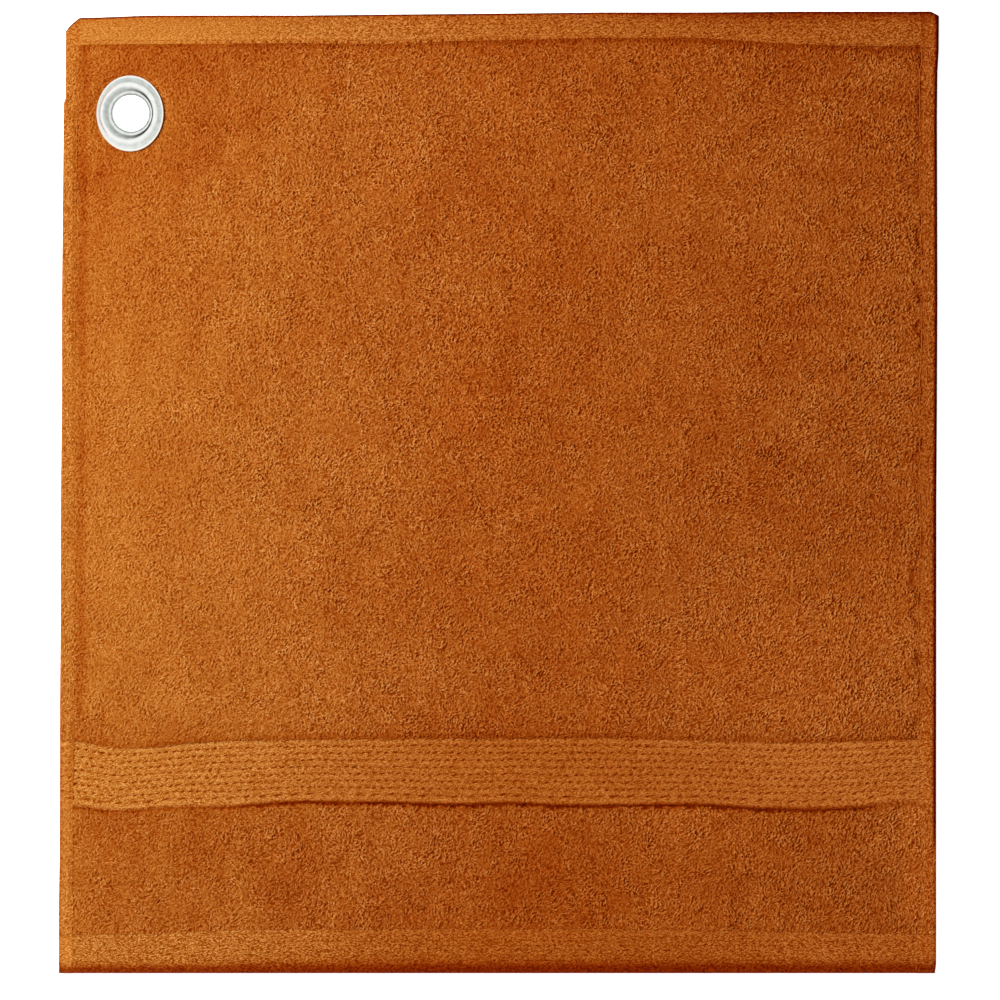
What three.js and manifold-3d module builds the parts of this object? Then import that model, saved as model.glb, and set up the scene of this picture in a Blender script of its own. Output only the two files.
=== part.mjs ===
// Golf towel: a hemmed cotton terry towel with a woven dobby band and a metal
// grommet in one corner, lying flat with its front face up.
//
// Frame: millimetres, +Z up and square to the cloth, +Y towards the top hem,
// origin under the middle of the towel on the plane it rests on.
//
// The woven panel is one cloth on the real towel. It is divided here where the
// cloth folds (two fold lines parallel to X, in thirds) and where the weave or
// the number of layers changes (terry field, flat-woven band, turned hems).
import * as THREE from "three";
import { mergeVertices } from "three/addons/utils/BufferGeometryUtils.js";
import Module from "manifold-3d";

// ---- cloth outline -------------------------------------------------------
const HALF_W = 203.2; // half the nominal width, 16 in across
const Y_BOTTOM = -223.3;
const Y_TOP = 222.0; // nominal top edge before its slight slope
// How far each edge strays from nominal: side edges in x, top edge in y.
const LEFT_STRAY = { bottom: -1.2, top: 1.9 };
const RIGHT_STRAY = { bottom: 0, top: 1.2 };
const TOP_STRAY = { left: -1.5, right: 1.3 };

// ---- fold lines and zones along the towel --------------------------------
const FOLD_UPPER_Y = 74.4;
const FOLD_LOWER_Y = -FOLD_UPPER_Y;
const FOLD_GAP = 0.6; // between the solids on each side of a fold line
const BOTTOM_HEM_INNER_Y = -204.5;
const BAND_BOTTOM_Y = -145.4;
const BAND_TOP_Y = -115.4;
const TOP_HEM_INNER_Y = 208.9;
const GAP = 0.1; // clearance between neighbouring zones

const UPPER_Y0 = FOLD_UPPER_Y + FOLD_GAP / 2;
const MIDDLE_Y1 = FOLD_UPPER_Y - FOLD_GAP / 2;
const MIDDLE_Y0 = FOLD_LOWER_Y + FOLD_GAP / 2;
const LOWER_Y1 = FOLD_LOWER_Y - FOLD_GAP / 2;

// ---- layers --------------------------------------------------------------
const PILE_Z = 3.6; // terry thickness, loops on both faces
const BAND_Z0 = 1.1; // flat-woven band, held at mid thickness
const BAND_Z1 = PILE_Z - BAND_Z0;

// Hems: z0 and z1 are the back and front faces. The depths are those of the
// stitch channels. Needle and bobbin are the z ranges of the threads in them.
const SIDE_HEM = {
  // two layers of terry
  z0: 0,
  z1: 4.0,
  frontDepth: 0.9,
  backDepth: 0.6,
  needle: [3.15, 3.6],
  bobbin: [0.1, 0.5],
};
const END_HEM = {
  // three layers of flat weave, at the top and bottom
  z0: 0.2,
  z1: 3.0,
  frontDepth: 0.6,
  backDepth: 0.5,
  needle: [2.45, 2.8],
  bobbin: [0.3, 0.65],
};
const SIDE_HEM_W = 10.0;
const SIDE_SEAM_IN = 7.3; // stitch line, from the side edge
const END_SEAM_IN = 2.2; // stitch line, from the end hem's inner edge
const FIELD_HALF_W = HALF_W - SIDE_HEM_W - GAP; // cloth between the side hems

// Rounding of a hem's folded edge, from a face to mid thickness, in parts of
// the hem's thickness: [in from the edge, in from the face].
const HEM_ROUNDING = [[0.42, 0], [0.16, 0.12], [0.03, 0.32]];

const GROOVE_W = 1.2; // the channel a stitch line pulls into the cloth
const THREAD_W = 0.8;
const END_THREAD_INSET = 2; // from the side hems to the ends of a thread

// Each stretch of side hem, with the y range of its threads.
const PANELS = [
  { name: "upper", y0: UPPER_Y0, y1: Y_TOP, thread: [UPPER_Y0 + 1, Y_TOP - 3] },
  { name: "middle", y0: MIDDLE_Y0, y1: MIDDLE_Y1, thread: [MIDDLE_Y0 + 1, MIDDLE_Y1 - 1] },
  { name: "lower", y0: Y_BOTTOM, y1: LOWER_Y1, thread: [Y_BOTTOM + 2, LOWER_Y1 - 1] },
];

// side is the sign of x; cornerCut blunts the top corner.
const SIDES = [
  { name: "left", side: -1, cornerCut: 5.6 },
  { name: "right", side: 1, cornerCut: 2.6 },
];
const CORNER_CUTTER = { z0: -2, z1: 6, margin: 1 }; // margin outside the cloth

// side is the sign of y.
const ENDS = [
  { name: "top", side: 1, outer: Y_TOP, inner: TOP_HEM_INNER_Y },
  { name: "bottom", side: -1, outer: Y_BOTTOM, inner: BOTTOM_HEM_INNER_Y },
];

// ---- grommet -------------------------------------------------------------
const GROMMET_X = -171.1;
const GROMMET_Y = 175.65;
const BORE_R = 8.4; // bore of the eyelet barrel
const FLANGE_R = 17.66; // washer, measured up the towel
const FLANGE_SQUEEZE = 0.118; // the part of its width the rim loses across
const ROUND_WITHIN = 10.8; // everything inside this radius is round
const BORE_SHIFT = 0.5; // the bore sits a little right of the washer's middle
const LATHE_SEGMENTS = 48;

const CLOTH_HOLE_R = 9.5;
const FRONT_SEAT = { radius: FLANGE_R + 0.4, floor: 2.5 };
const BACK_SEAT = { radius: 16.2, floor: 1.0 };
const SEAT_CUTTER = { z0: -4, z1: 8 }; // well clear of both faces

// Eyelet section: a flange behind the cloth, a barrel through it, and the
// barrel's end rolled outwards over the washer in front. [radius, z]
const EYELET = [
  [BORE_R, 3.7], [BORE_R, 1.2], [8.6, 0.72], [9.1, 0.35], [9.9, 0.2],
  [13.4, 0.2], [14.8, 0.3], [15.6, 0.5], [15.6, 0.9], [15.1, 0.92],
  [14.6, 0.78], [13.4, 0.68], [10.1, 0.68], [9.5, 0.78], [9.08, 1.0],
  [8.95, 1.35], [8.95, 3.3], [9.1, 3.62], [9.5, 3.78], [9.85, 3.6],
  [9.98, 3.3], [10.45, 3.3], [10.4, 3.75], [10.05, 4.12], [9.55, 4.3],
  [8.95, 4.22], [8.55, 3.98],
];
// Washer section: a dished ring with a raised bead and a turned-down rim.
// [radius, z]
const WASHER = [
  [FLANGE_R, 2.65], [FLANGE_R, 3.1], [17.5, 3.3], [17.1, 3.38], [14.9, 3.38],
  [14.4, 3.62], [13.9, 4.1], [13.3, 4.45], [12.7, 4.45], [12.15, 4.15],
  [11.6, 3.6], [11.1, 3.18], [10.6, 3.02], [9.35, 3.02], [9.35, 2.6],
  [10.8, 2.6], [11.5, 2.82], [12.0, 3.25], [12.5, 3.8], [12.9, 4.02],
  [13.2, 3.98], [13.6, 3.62], [14.1, 3.12], [14.8, 2.92], [17.1, 2.92],
  [17.25, 2.65],
];

// ---- materials -----------------------------------------------------------
function material(color, { roughness, metalness = 0 }) {
  return new THREE.MeshStandardMaterial({ color, roughness, metalness });
}

const terry = material(0xb05a1c, { roughness: 0.95 });
const flatCotton = material(0xb9661f, { roughness: 0.85 });
const thread = material(0xc9782f, { roughness: 0.7 });
const nickel = material(0xd8dcdc, { roughness: 0.22, metalness: 1 });

// ---- solids --------------------------------------------------------------
const MERGE_WITHIN = 1e-4;
const wasm = await Module();
wasm.setup();

function solidOf(geometry) {
  const bare = geometry.clone();
  bare.deleteAttribute("normal");
  bare.deleteAttribute("uv");
  const merged = mergeVertices(bare, MERGE_WITHIN);
  return new wasm.Manifold(
    new wasm.Mesh({
      numProp: 3,
      vertProperties: new Float32Array(merged.attributes.position.array),
      triVerts: new Uint32Array(merged.index.array),
    }),
  );
}

function subtract(geometry, cutters) {
  const solid = cutters.reduce((rest, cutter) => rest.subtract(solidOf(cutter)), solidOf(geometry));
  const mesh = solid.getMesh();
  const result = new THREE.BufferGeometry();
  const positions = new Float32Array(mesh.vertProperties);
  result.setAttribute("position", new THREE.BufferAttribute(positions, 3));
  result.setIndex(new THREE.BufferAttribute(new Uint32Array(mesh.triVerts), 1));
  result.computeVertexNormals();
  return result;
}

// Moves each vertex to the [x, y] that place(x, y) gives, keeping its z.
function moveVertices(geometry, place) {
  const position = geometry.getAttribute("position");
  for (let i = 0; i < position.count; i++) {
    position.setXY(i, ...place(position.getX(i), position.getY(i)));
  }
  return geometry;
}

// Extrudes an outline of [x, y] points up from z = 0.
function prism(outline, depth) {
  const shape = new THREE.Shape(outline.map(([x, y]) => new THREE.Vector2(x, y)));
  return new THREE.ExtrudeGeometry(shape, { depth, bevelEnabled: false });
}

// A flat box of cloth or thread between two x and two y lines.
function zone(x0, x1, y0, y1, z0, z1) {
  return prism([[x0, y0], [x1, y0], [x1, y1], [x0, y1]], z1 - z0).translate(0, 0, z0);
}

// ---- cloth ---------------------------------------------------------------
// The real towel is not a true rectangle. This strays its edges from nominal
// and keeps the two fold lines parallel to X.
function skew(x, y) {
  const right = (x + HALF_W) / (2 * HALF_W);
  const up = (y - Y_BOTTOM) / (Y_TOP - Y_BOTTOM);
  const left = LEFT_STRAY.bottom + (LEFT_STRAY.top - LEFT_STRAY.bottom) * up;
  const rightOff = RIGHT_STRAY.bottom + (RIGHT_STRAY.top - RIGHT_STRAY.bottom) * up;
  const aboveFold = Math.max(0, (y - FOLD_UPPER_Y) / (Y_TOP - FOLD_UPPER_Y));
  return [
    x + left * (1 - right) + rightOff * right,
    y + aboveFold * (TOP_STRAY.left * (1 - right) + TOP_STRAY.right * right),
  ];
}

// Cloth over the full width between the side hems.
function field(y0, y1, z0 = 0, z1 = PILE_Z) {
  return moveVertices(zone(-FIELD_HALF_W, FIELD_HALF_W, y0, y1, z0, z1), skew);
}

// A turned hem's section, from its folded outer edge (0) to its inner edge
// (width), with the channels of one stitch line on both faces.
function hemSection({ z0, z1, frontDepth, backDepth }, width, seam) {
  const thickness = z1 - z0;
  const grooveInner = seam + GROOVE_W / 2;
  const grooveOuter = seam - GROOVE_W / 2;
  const frontRounding = HEM_ROUNDING.map(([across, deep]) => [
    thickness * across,
    z1 - thickness * deep,
  ]);
  const backRounding = HEM_ROUNDING.map(([across, deep]) => [
    thickness * across,
    z0 + thickness * deep,
  ]);
  return [
    [width, z0],
    [width, z1],
    [grooveInner, z1],
    [grooveInner, z1 - frontDepth],
    [grooveOuter, z1 - frontDepth],
    [grooveOuter, z1],
    ...frontRounding,
    [0, z0 + thickness / 2],
    ...backRounding.reverse(),
    [grooveOuter, z0],
    [grooveOuter, z0 + backDepth],
    [grooveInner, z0 + backDepth],
    [grooveInner, z0],
  ];
}

function sideHem(side, y0, y1) {
  const section = hemSection(SIDE_HEM, SIDE_HEM_W, SIDE_SEAM_IN);
  const outline = section.map(([across, z]) => [side * (HALF_W - across), z]);
  return prism(outline, y1 - y0).rotateX(Math.PI / 2).translate(0, y1, 0);
}

// A top or bottom hem, running between the side hems.
function endHem({ side, outer, inner }) {
  const width = Math.abs(outer - inner);
  const section = hemSection(END_HEM, width, width - END_SEAM_IN);
  const outline = section.map(([across, z]) => [outer - side * across, z]);
  // section x becomes y, section y becomes z, and the length runs along x
  return prism(outline, 2 * FIELD_HALF_W)
    .rotateX(Math.PI / 2)
    .rotateZ(Math.PI / 2)
    .translate(-FIELD_HALF_W, 0, 0);
}

// Cuts the top corner off an upper side hem at 45 degrees.
function bluntCorner(hem, side, cut) {
  const { z0, z1, margin } = CORNER_CUTTER;
  const outerX = side * (HALF_W + margin);
  const innerX = side * (HALF_W - cut);
  const outline = [
    [innerX, Y_TOP + margin],
    [outerX, Y_TOP + margin],
    [outerX, Y_TOP - cut - margin],
    [innerX, Y_TOP],
  ];
  return subtract(hem, [prism(outline, z1 - z0).translate(0, 0, z0)]);
}

// Stitch threads lie in the channels of a seam.
function sideThread(side, [y0, y1], [z0, z1]) {
  const x = side * (HALF_W - SIDE_SEAM_IN);
  return zone(x - THREAD_W / 2, x + THREAD_W / 2, y0, y1, z0, z1);
}

function endThread({ side, inner }, [z0, z1]) {
  const y = inner + side * END_SEAM_IN;
  const halfLength = HALF_W - SIDE_HEM_W - END_THREAD_INSET;
  return zone(-halfLength, halfLength, y - THREAD_W / 2, y + THREAD_W / 2, z0, z1);
}

// ---- grommet parts -------------------------------------------------------
// Round at the bore and narrower across the towel at the rim.
function squeezeRim(x, y) {
  const beyond = (Math.hypot(x, y) - ROUND_WITHIN) / (FLANGE_R - ROUND_WITHIN);
  const clamped = Math.min(1, Math.max(0, beyond));
  const eased = clamped * clamped * (3 - 2 * clamped);
  return [x * (1 - FLANGE_SQUEEZE * eased) + BORE_SHIFT * (1 - eased), y];
}

// Turns a [radius, z] profile about Z, then squeezes it.
function revolve(profile) {
  const points = profile.map(([radius, z]) => new THREE.Vector2(radius, z));
  const lathe = new THREE.LatheGeometry(points, LATHE_SEGMENTS);
  lathe.rotateX(Math.PI / 2);
  lathe.deleteAttribute("normal");
  lathe.deleteAttribute("uv");
  return moveVertices(mergeVertices(lathe, MERGE_WITHIN), squeezeRim);
}

function seatCutter(radius, z0, z1) {
  return revolve([[0, z0], [radius, z0], [radius, z1], [0, z1]])
    .translate(GROMMET_X, GROMMET_Y, 0);
}

// The seat the grommet presses into the pile, on both faces, and its hole.
function cutGrommetSeat(geometry) {
  const { z0, z1 } = SEAT_CUTTER;
  return subtract(geometry, [
    seatCutter(FRONT_SEAT.radius, FRONT_SEAT.floor, z1),
    seatCutter(BACK_SEAT.radius, z0, BACK_SEAT.floor),
    seatCutter(CLOTH_HOLE_R, z0, z1),
  ]);
}

// ---- assembly ------------------------------------------------------------
const towel = new THREE.Group();

function add(name, geometry, surface) {
  const mesh = new THREE.Mesh(geometry, surface);
  mesh.name = name;
  towel.add(mesh);
  return mesh;
}

function addSkewed(name, geometry, surface) {
  add(name, moveVertices(geometry, skew), surface);
}

function addFields() {
  add("terry_field_upper", cutGrommetSeat(field(UPPER_Y0, TOP_HEM_INNER_Y - GAP)), terry);
  add("terry_field_middle", field(MIDDLE_Y0, MIDDLE_Y1), terry);
  add("terry_field_lower", field(BAND_TOP_Y + GAP, LOWER_Y1), terry);
  add("dobby_band", field(BAND_BOTTOM_Y, BAND_TOP_Y, BAND_Z0, BAND_Z1), flatCotton);
  add("terry_field_bottom", field(BOTTOM_HEM_INNER_Y + GAP, BAND_BOTTOM_Y - GAP), terry);
}

function addHems() {
  for (const end of ENDS) addSkewed(`${end.name}_hem`, endHem(end), flatCotton);
  for (const { name, side, cornerCut } of SIDES) {
    for (const panel of PANELS) {
      const hem = sideHem(side, panel.y0, panel.y1);
      const shaped = panel.name === "upper" ? bluntCorner(hem, side, cornerCut) : hem;
      addSkewed(`${name}_hem_${panel.name}`, shaped, terry);
    }
  }
}

// Lockstitch: needle thread in front, bobbin thread behind.
function addThreads() {
  const kinds = ["needle", "bobbin"];
  for (const { name, side } of SIDES) {
    for (const panel of PANELS) {
      for (const kind of kinds) {
        const strand = sideThread(side, panel.thread, SIDE_HEM[kind]);
        addSkewed(`${name}_${kind}_thread_${panel.name}`, strand, thread);
      }
    }
  }
  for (const end of ENDS) {
    for (const kind of kinds) {
      addSkewed(`${end.name}_${kind}_thread`, endThread(end, END_HEM[kind]), thread);
    }
  }
}

function addGrommet() {
  for (const [name, section] of [["eyelet", EYELET], ["washer", WASHER]]) {
    const closed = [...section, section[0]];
    add(`grommet_${name}`, revolve(closed), nickel).position.set(GROMMET_X, GROMMET_Y, 0);
  }
}

addFields();
addHems();
addThreads();
addGrommet();

export default towel;
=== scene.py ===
# A terry hand towel, about 0.41 m wide and 0.45 m long, lying flat with its front face up.
# x runs from the left side hem to the right, y from the bottom hem to the top, z out of the front.
# A dobby band crosses the lower part and a metal grommet goes through the upper part.
import math
from collections import namedtuple

import bpy
import numpy as np
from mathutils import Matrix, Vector


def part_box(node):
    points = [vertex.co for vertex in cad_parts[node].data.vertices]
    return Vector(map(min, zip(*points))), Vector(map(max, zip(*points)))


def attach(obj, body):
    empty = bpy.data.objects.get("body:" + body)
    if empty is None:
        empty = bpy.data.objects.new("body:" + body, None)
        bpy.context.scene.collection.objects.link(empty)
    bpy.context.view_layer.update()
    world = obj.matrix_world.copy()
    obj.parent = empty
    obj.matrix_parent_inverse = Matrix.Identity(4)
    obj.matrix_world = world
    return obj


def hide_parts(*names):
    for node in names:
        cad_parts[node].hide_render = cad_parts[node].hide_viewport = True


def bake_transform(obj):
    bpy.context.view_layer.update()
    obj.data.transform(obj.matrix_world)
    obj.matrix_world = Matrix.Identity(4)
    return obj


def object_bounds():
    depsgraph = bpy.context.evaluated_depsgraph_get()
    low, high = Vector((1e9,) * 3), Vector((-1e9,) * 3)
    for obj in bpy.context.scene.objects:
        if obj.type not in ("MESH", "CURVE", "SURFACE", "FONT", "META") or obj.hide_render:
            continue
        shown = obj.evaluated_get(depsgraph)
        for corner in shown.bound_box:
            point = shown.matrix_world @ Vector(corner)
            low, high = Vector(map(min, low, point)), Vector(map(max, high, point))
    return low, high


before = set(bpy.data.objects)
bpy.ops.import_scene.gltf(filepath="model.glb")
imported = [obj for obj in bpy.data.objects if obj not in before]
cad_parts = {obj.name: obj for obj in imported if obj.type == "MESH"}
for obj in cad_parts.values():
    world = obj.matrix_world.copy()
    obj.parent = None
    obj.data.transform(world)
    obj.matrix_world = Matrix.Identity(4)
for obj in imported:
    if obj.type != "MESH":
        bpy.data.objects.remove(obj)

CAD_LO, CAD_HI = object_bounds()
MM = 0.001  # all cloth sizes are in mm and are scaled by this when a mesh is made
STEP = 0.34  # spacing of the fine meshes


def box_mm(node):
    low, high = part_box(node)
    return np.array(low) / MM, np.array(high) / MM


# ---------------------------------------------------------------------------
# Outline and zone lines
# ---------------------------------------------------------------------------
FIELD_LO, FIELD_HI = box_mm("terry_field_middle")
BAND_LO, BAND_HI = box_mm("dobby_band")
EYE_LO, EYE_HI = box_mm("grommet_eyelet")
WASH_LO, WASH_HI = box_mm("grommet_washer")
BORE_CENTRE = 0.5 * (EYE_LO + EYE_HI)
RIM_CENTRE = 0.5 * (WASH_LO + WASH_HI)
RIM_RADIUS = 0.5 * (WASH_HI - WASH_LO)
FOLD_LOWER = FIELD_LO[1] - 0.3
FOLD_UPPER = FIELD_HI[1] + 0.3

# Nominal heights of the zone lines; the lists below add the unevenness of a sewn cloth
Y_LOW = CAD_LO.y / MM
BOTTOM_INNER = box_mm("bottom_hem")[1][1]
BAND_BOTTOM = BAND_LO[1]
BAND_TOP = BAND_HI[1]
TOP_INNER = 208.9
TOP_OUTER = 222.0

# Side edges: (y, x)
EDGE_LEFT = [
    (-223.3, -204.3), (-189.6, -204.3), (-166.0, -203.9), (-96.6, -203.8), (-50.0, -203.4),
    (-3.6, -203.4), (42.9, -202.9), (89.4, -202.9), (135.9, -202.45), (182.3, -202.0),
    (184.2, -201.15), (223.3, -201.05)]
EDGE_RIGHT = [
    (-223.3, 202.4), (-219.0, 203.0), (-120.0, 203.0), (-3.6, 203.1), (42.9, 203.4),
    (89.4, 203.6), (135.9, 203.5), (175.0, 203.4), (196.0, 203.6), (206.0, 204.2),
    (223.3, 204.3)]
# Lines across the towel: (x, y)
EDGE_TOP = [
    (-201.3, 213.6), (-200.1, 215.2), (-199.2, 216.5), (-196.9, 218.4), (-194.6, 220.3),
    (-185.2, 220.5), (-162.0, 221.4), (-92.3, 221.4), (-45.8, 221.9), (0.7, 222.3),
    (47.2, 222.8), (93.7, 222.8), (140.2, 223.2), (200.6, 223.2), (204.2, 221.2)]
LINE_TOP_HEM = [
    (-201.0, 207.6), (-185.2, 208.2), (-138.0, 208.4), (-92.3, 208.8), (-45.8, 208.4),
    (-22.5, 209.8), (0.7, 210.2), (47.2, 211.2), (93.7, 211.2), (130.9, 208.6),
    (163.4, 207.5), (186.6, 207.4), (204.0, 208.6)]
LINE_BAND_TOP = [
    (-204.0, -115.6), (-194.5, -116.1), (-178.3, -119.3), (-162.5, -118.9), (-147.1, -117.0),
    (-124.8, -115.6), (-93.2, -115.2), (-45.8, -114.6), (10.0, -114.6), (47.2, -114.2),
    (93.7, -115.6), (138.3, -116.6), (191.3, -115.2), (204.0, -115.2)]
LINE_BAND_BOTTOM = [
    (-204.0, -146.0), (-194.5, -146.3), (-178.3, -148.2), (-165.3, -147.7), (-151.8, -146.3),
    (-124.8, -146.3), (-93.2, -144.0), (-45.8, -144.5), (-31.8, -145.2), (-12.8, -145.4),
    (6.3, -144.5), (28.1, -145.9), (93.7, -145.4), (120.2, -147.3), (142.5, -147.7),
    (169.4, -146.8), (182.5, -143.7), (204.0, -144.0)]
LINE_BOTTOM_HEM = [
    (-203.8, -206.7), (-162.0, -205.8), (-115.5, -203.9), (-45.8, -203.5), (47.2, -203.5),
    (140.2, -204.9), (186.6, -205.8), (204.0, -206.2)]


def curve(points, rounding, shift=0.0):
    """A broken line as a function, its corners rounded over a length, its values shifted."""
    points = np.array(points, float)
    sample = 0.5
    along = np.arange(points[0, 0] - 20, points[-1, 0] + 20, sample)
    values = np.interp(along, points[:, 0], points[:, 1] + shift)
    count = int(rounding / sample) | 1
    kernel = np.hanning(count + 2)[1:-1]
    padded = np.pad(values, count // 2, mode="edge")
    values = np.convolve(padded, kernel / kernel.sum(), "valid")
    return lambda position: np.interp(position, along, values)


left_edge = curve(EDGE_LEFT, 2.5)
right_edge = curve(EDGE_RIGHT, 6.0)
top_edge = curve(EDGE_TOP, 1.5)
hem_top_line = curve(LINE_TOP_HEM, 14.0, shift=-0.45)
band_top_line = curve(LINE_BAND_TOP, 12.0, shift=0.40)
band_bottom_line = curve(LINE_BAND_BOTTOM, 10.0, shift=0.1)
hem_bottom_line = curve(LINE_BOTTOM_HEM, 20.0, shift=0.95)


# ---------------------------------------------------------------------------
# Shaping functions
# ---------------------------------------------------------------------------
def mix(first, second, share):
    return first * (1 - share) + second * share


def ramp(value, start, stop):
    share = np.clip((np.asarray(value, float) - start) / (stop - start), 0, 1)
    return share * share * (3 - 2 * share)


def past(distance):
    """0 before a line and 1 beyond it, with a short soft step."""
    return ramp(distance, -0.6, 0.6)


def bell(value, centre, width):
    return np.exp(-((value - centre) / width) ** 2)


def dome(distance, radius):
    """0 at the edge, 1 from radius inwards, round between."""
    share = np.clip(np.asarray(distance, float) / radius, 0, 1)
    return np.sqrt(np.maximum(0, 1 - (1 - share) ** 2))


def bilinear(grid, row, column, up, across):
    return mix(mix(grid[row, column], grid[row, column + 1], across),
               mix(grid[row + 1, column], grid[row + 1, column + 1], across), up)


def noise(x, y, cell, seed, cell_y=None):
    """Smooth random field from -1 to 1, with lattice cells of the given width and height."""
    cell_y = cell_y or cell
    rng = np.random.default_rng(seed)
    lattice = rng.uniform(-1, 1, (int(520 / cell_y) + 4, int(480 / cell) + 4))
    across = (np.asarray(x, float) + 240.0) / cell
    up = (np.asarray(y, float) + 260.0) / cell_y
    column = np.clip(across.astype(int), 0, lattice.shape[1] - 2)
    row = np.clip(up.astype(int), 0, lattice.shape[0] - 2)
    across, up = (s * s * s * (s * (s * 6 - 15) + 10) for s in (across - column, up - row))
    return bilinear(lattice, row, column, up, across)


# ---------------------------------------------------------------------------
# Loop fields: every terry loop, and every float of the flat weave, is laid
# down one by one as a short rounded ridge. The highest one wins.
# ---------------------------------------------------------------------------
CELL = 0.21
GRID_X, GRID_Y = -208.0, -227.0
GRID_WIDTH, GRID_HEIGHT = 416, 454
GRID_COLS, GRID_ROWS = int(GRID_WIDTH / CELL) + 2, int(GRID_HEIGHT / CELL) + 2
GRID_MARGIN = 1.5
HEIGHT_LEVELS = 16000
TONE_LEVELS = 1024


def loop_field(seed, pitch_x, pitch_y, length, width, angle, spread, drop, jitter):
    """Grids of loop height and loop tone, each from 0 to 1. drop is the share of loops left out."""
    rng = np.random.default_rng(seed)
    xs = np.arange(GRID_X + GRID_MARGIN, GRID_X + GRID_WIDTH - GRID_MARGIN, pitch_x)
    ys = np.arange(GRID_Y + GRID_MARGIN, GRID_Y + GRID_HEIGHT - GRID_MARGIN, pitch_y)
    x, y = np.meshgrid(xs, ys)
    x = x + (np.arange(len(ys)) % 2)[:, None] * pitch_x * 0.5
    x, y = x.ravel(), y.ravel()
    count = len(x)
    x = x + rng.uniform(-jitter, jitter, count) * pitch_x
    y = y + rng.uniform(-jitter, jitter, count) * pitch_y
    turn = angle(x, y) + rng.normal(0, spread, count)
    half_length = 0.5 * length * rng.uniform(0.68, 1.32, count)
    half_width = 0.5 * width * rng.uniform(0.82, 1.18, count)
    top = rng.uniform(0.40, 1.0, count)
    tone = rng.random(count)
    keep = (rng.random(count) > drop) & (x < GRID_X + GRID_WIDTH - GRID_MARGIN - 1.0)
    loops = (x, y, turn, half_length, half_width, top, tone)
    x, y, turn, half_length, half_width, top, tone = (values[keep] for values in loops)
    cos, sin = np.cos(turn), np.sin(turn)
    column = np.round((x - GRID_X) / CELL).astype(np.int64)
    row = np.round((y - GRID_Y) / CELL).astype(np.int64)
    # height and tone share one number, so that the highest loop also sets the tone
    grid = np.zeros(GRID_COLS * GRID_ROWS, np.int32)
    reach = int(math.ceil(0.66 * length / CELL))
    for j in range(-reach, reach + 1):
        for i in range(-reach, reach + 1):
            off_x = (column + i) * CELL + GRID_X - x
            off_y = (row + j) * CELL + GRID_Y - y
            along = (off_x * cos + off_y * sin) / half_length
            across = (-off_x * sin + off_y * cos) / half_width
            inside = 1 - along * along - across * across
            hit = inside > 0
            if not hit.any():
                continue
            height = top[hit] * inside[hit] ** 0.5
            packed = ((height * HEIGHT_LEVELS).astype(np.int32) * TONE_LEVELS
                      + (tone[hit] * (TONE_LEVELS - 1)).astype(np.int32))
            at = (row[hit] + j) * GRID_COLS + column[hit] + i
            grid[at] = np.maximum(grid[at], packed)
    grid = grid.reshape(GRID_ROWS, GRID_COLS)
    return ((grid // TONE_LEVELS).astype(np.float32) / HEIGHT_LEVELS,
            (grid % TONE_LEVELS).astype(np.float32) / (TONE_LEVELS - 1))


def lookup(field, x, y):
    across = np.clip((np.asarray(x) - GRID_X) / CELL, 0, GRID_COLS - 1.001)
    up = np.clip((np.asarray(y) - GRID_Y) / CELL, 0, GRID_ROWS - 1.001)
    column, row = across.astype(int), up.astype(int)
    return bilinear(field, row, column, up - row, across - column)


def terry_angle(x, y):
    # brushed every way on the left, leaning up and to the right on the right
    lean = ramp(x, 20, 170)
    swirl = math.pi * noise(x, y, 9.0, 301)
    return swirl * (1.0 - 0.78 * lean) + lean * 1.22


TERRY, TERRY_TONE = loop_field(
    seed=11, pitch_x=0.82, pitch_y=0.90, length=1.62, width=0.68, angle=terry_angle,
    spread=0.50, drop=0.11, jitter=0.42)
WEAVE, WEAVE_TONE = loop_field(
    seed=12, pitch_x=1.30, pitch_y=0.62, length=1.55, width=0.62, angle=lambda x, y: 0 * x,
    spread=0.14, drop=0.07, jitter=0.36)
TERRY_MEAN = float(TERRY.mean())
WEAVE_MEAN = float(WEAVE.mean())


# ---------------------------------------------------------------------------
# How the pile stands, its worn patches, and the light and shade painted on it
# ---------------------------------------------------------------------------
# Patches of brushed-down pile: x, y, half length, half height, how much darker they look
BRUSHED = [
    (-150.0, 197.0, 58.0, 11.0, 0.15), (-128.0, 172.0, 20.0, 12.0, 0.13),
    (-184.0, 151.0, 14.0, 11.0, 0.19), (-142.0, 151.0, 18.0, 9.0, 0.08),
    (-184.0, 132.0, 13.0, 9.0, 0.08), (128.0, 197.0, 16.0, 10.0, 0.09),
    (174.0, 184.0, 16.0, 12.0, 0.06), (172.0, 150.0, 14.0, 22.0, 0.04),
    (-102.0, 198.0, 12.0, 9.0, 0.07), (6.0, 62.0, 7.0, 24.0, 0.06),
    (103.0, 88.0, 20.0, 14.0, 0.05), (140.0, 15.0, 22.0, 7.0, 0.05),
    (172.0, 8.0, 14.0, 22.0, 0.05), (7.0, -76.0, 6.0, 22.0, 0.06),
    (-34.0, -100.0, 16.0, 7.0, 0.05), (-126.0, -168.0, 16.0, 7.0, 0.05),
    (16.0, -174.0, 18.0, 12.0, 0.07), (112.0, -176.0, 20.0, 9.0, 0.06)]


def pile_stand(x, y):
    """How tall the pile stands: flattened patches and streaks."""
    stand = (0.72 + 0.15 * noise(x, y, 11.0, 21, 9.0) + 0.27 * noise(x, y, 3.4, 22, 4.2)
             + 0.05 * noise(x, y, 42.0, 23, 22.0))
    stand = stand * (0.74 + 0.26 * ramp(x, -195, -60) + 0.10 * ramp(x, 70, 180))
    return np.clip(stand, 0.16, 1.2)


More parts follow.
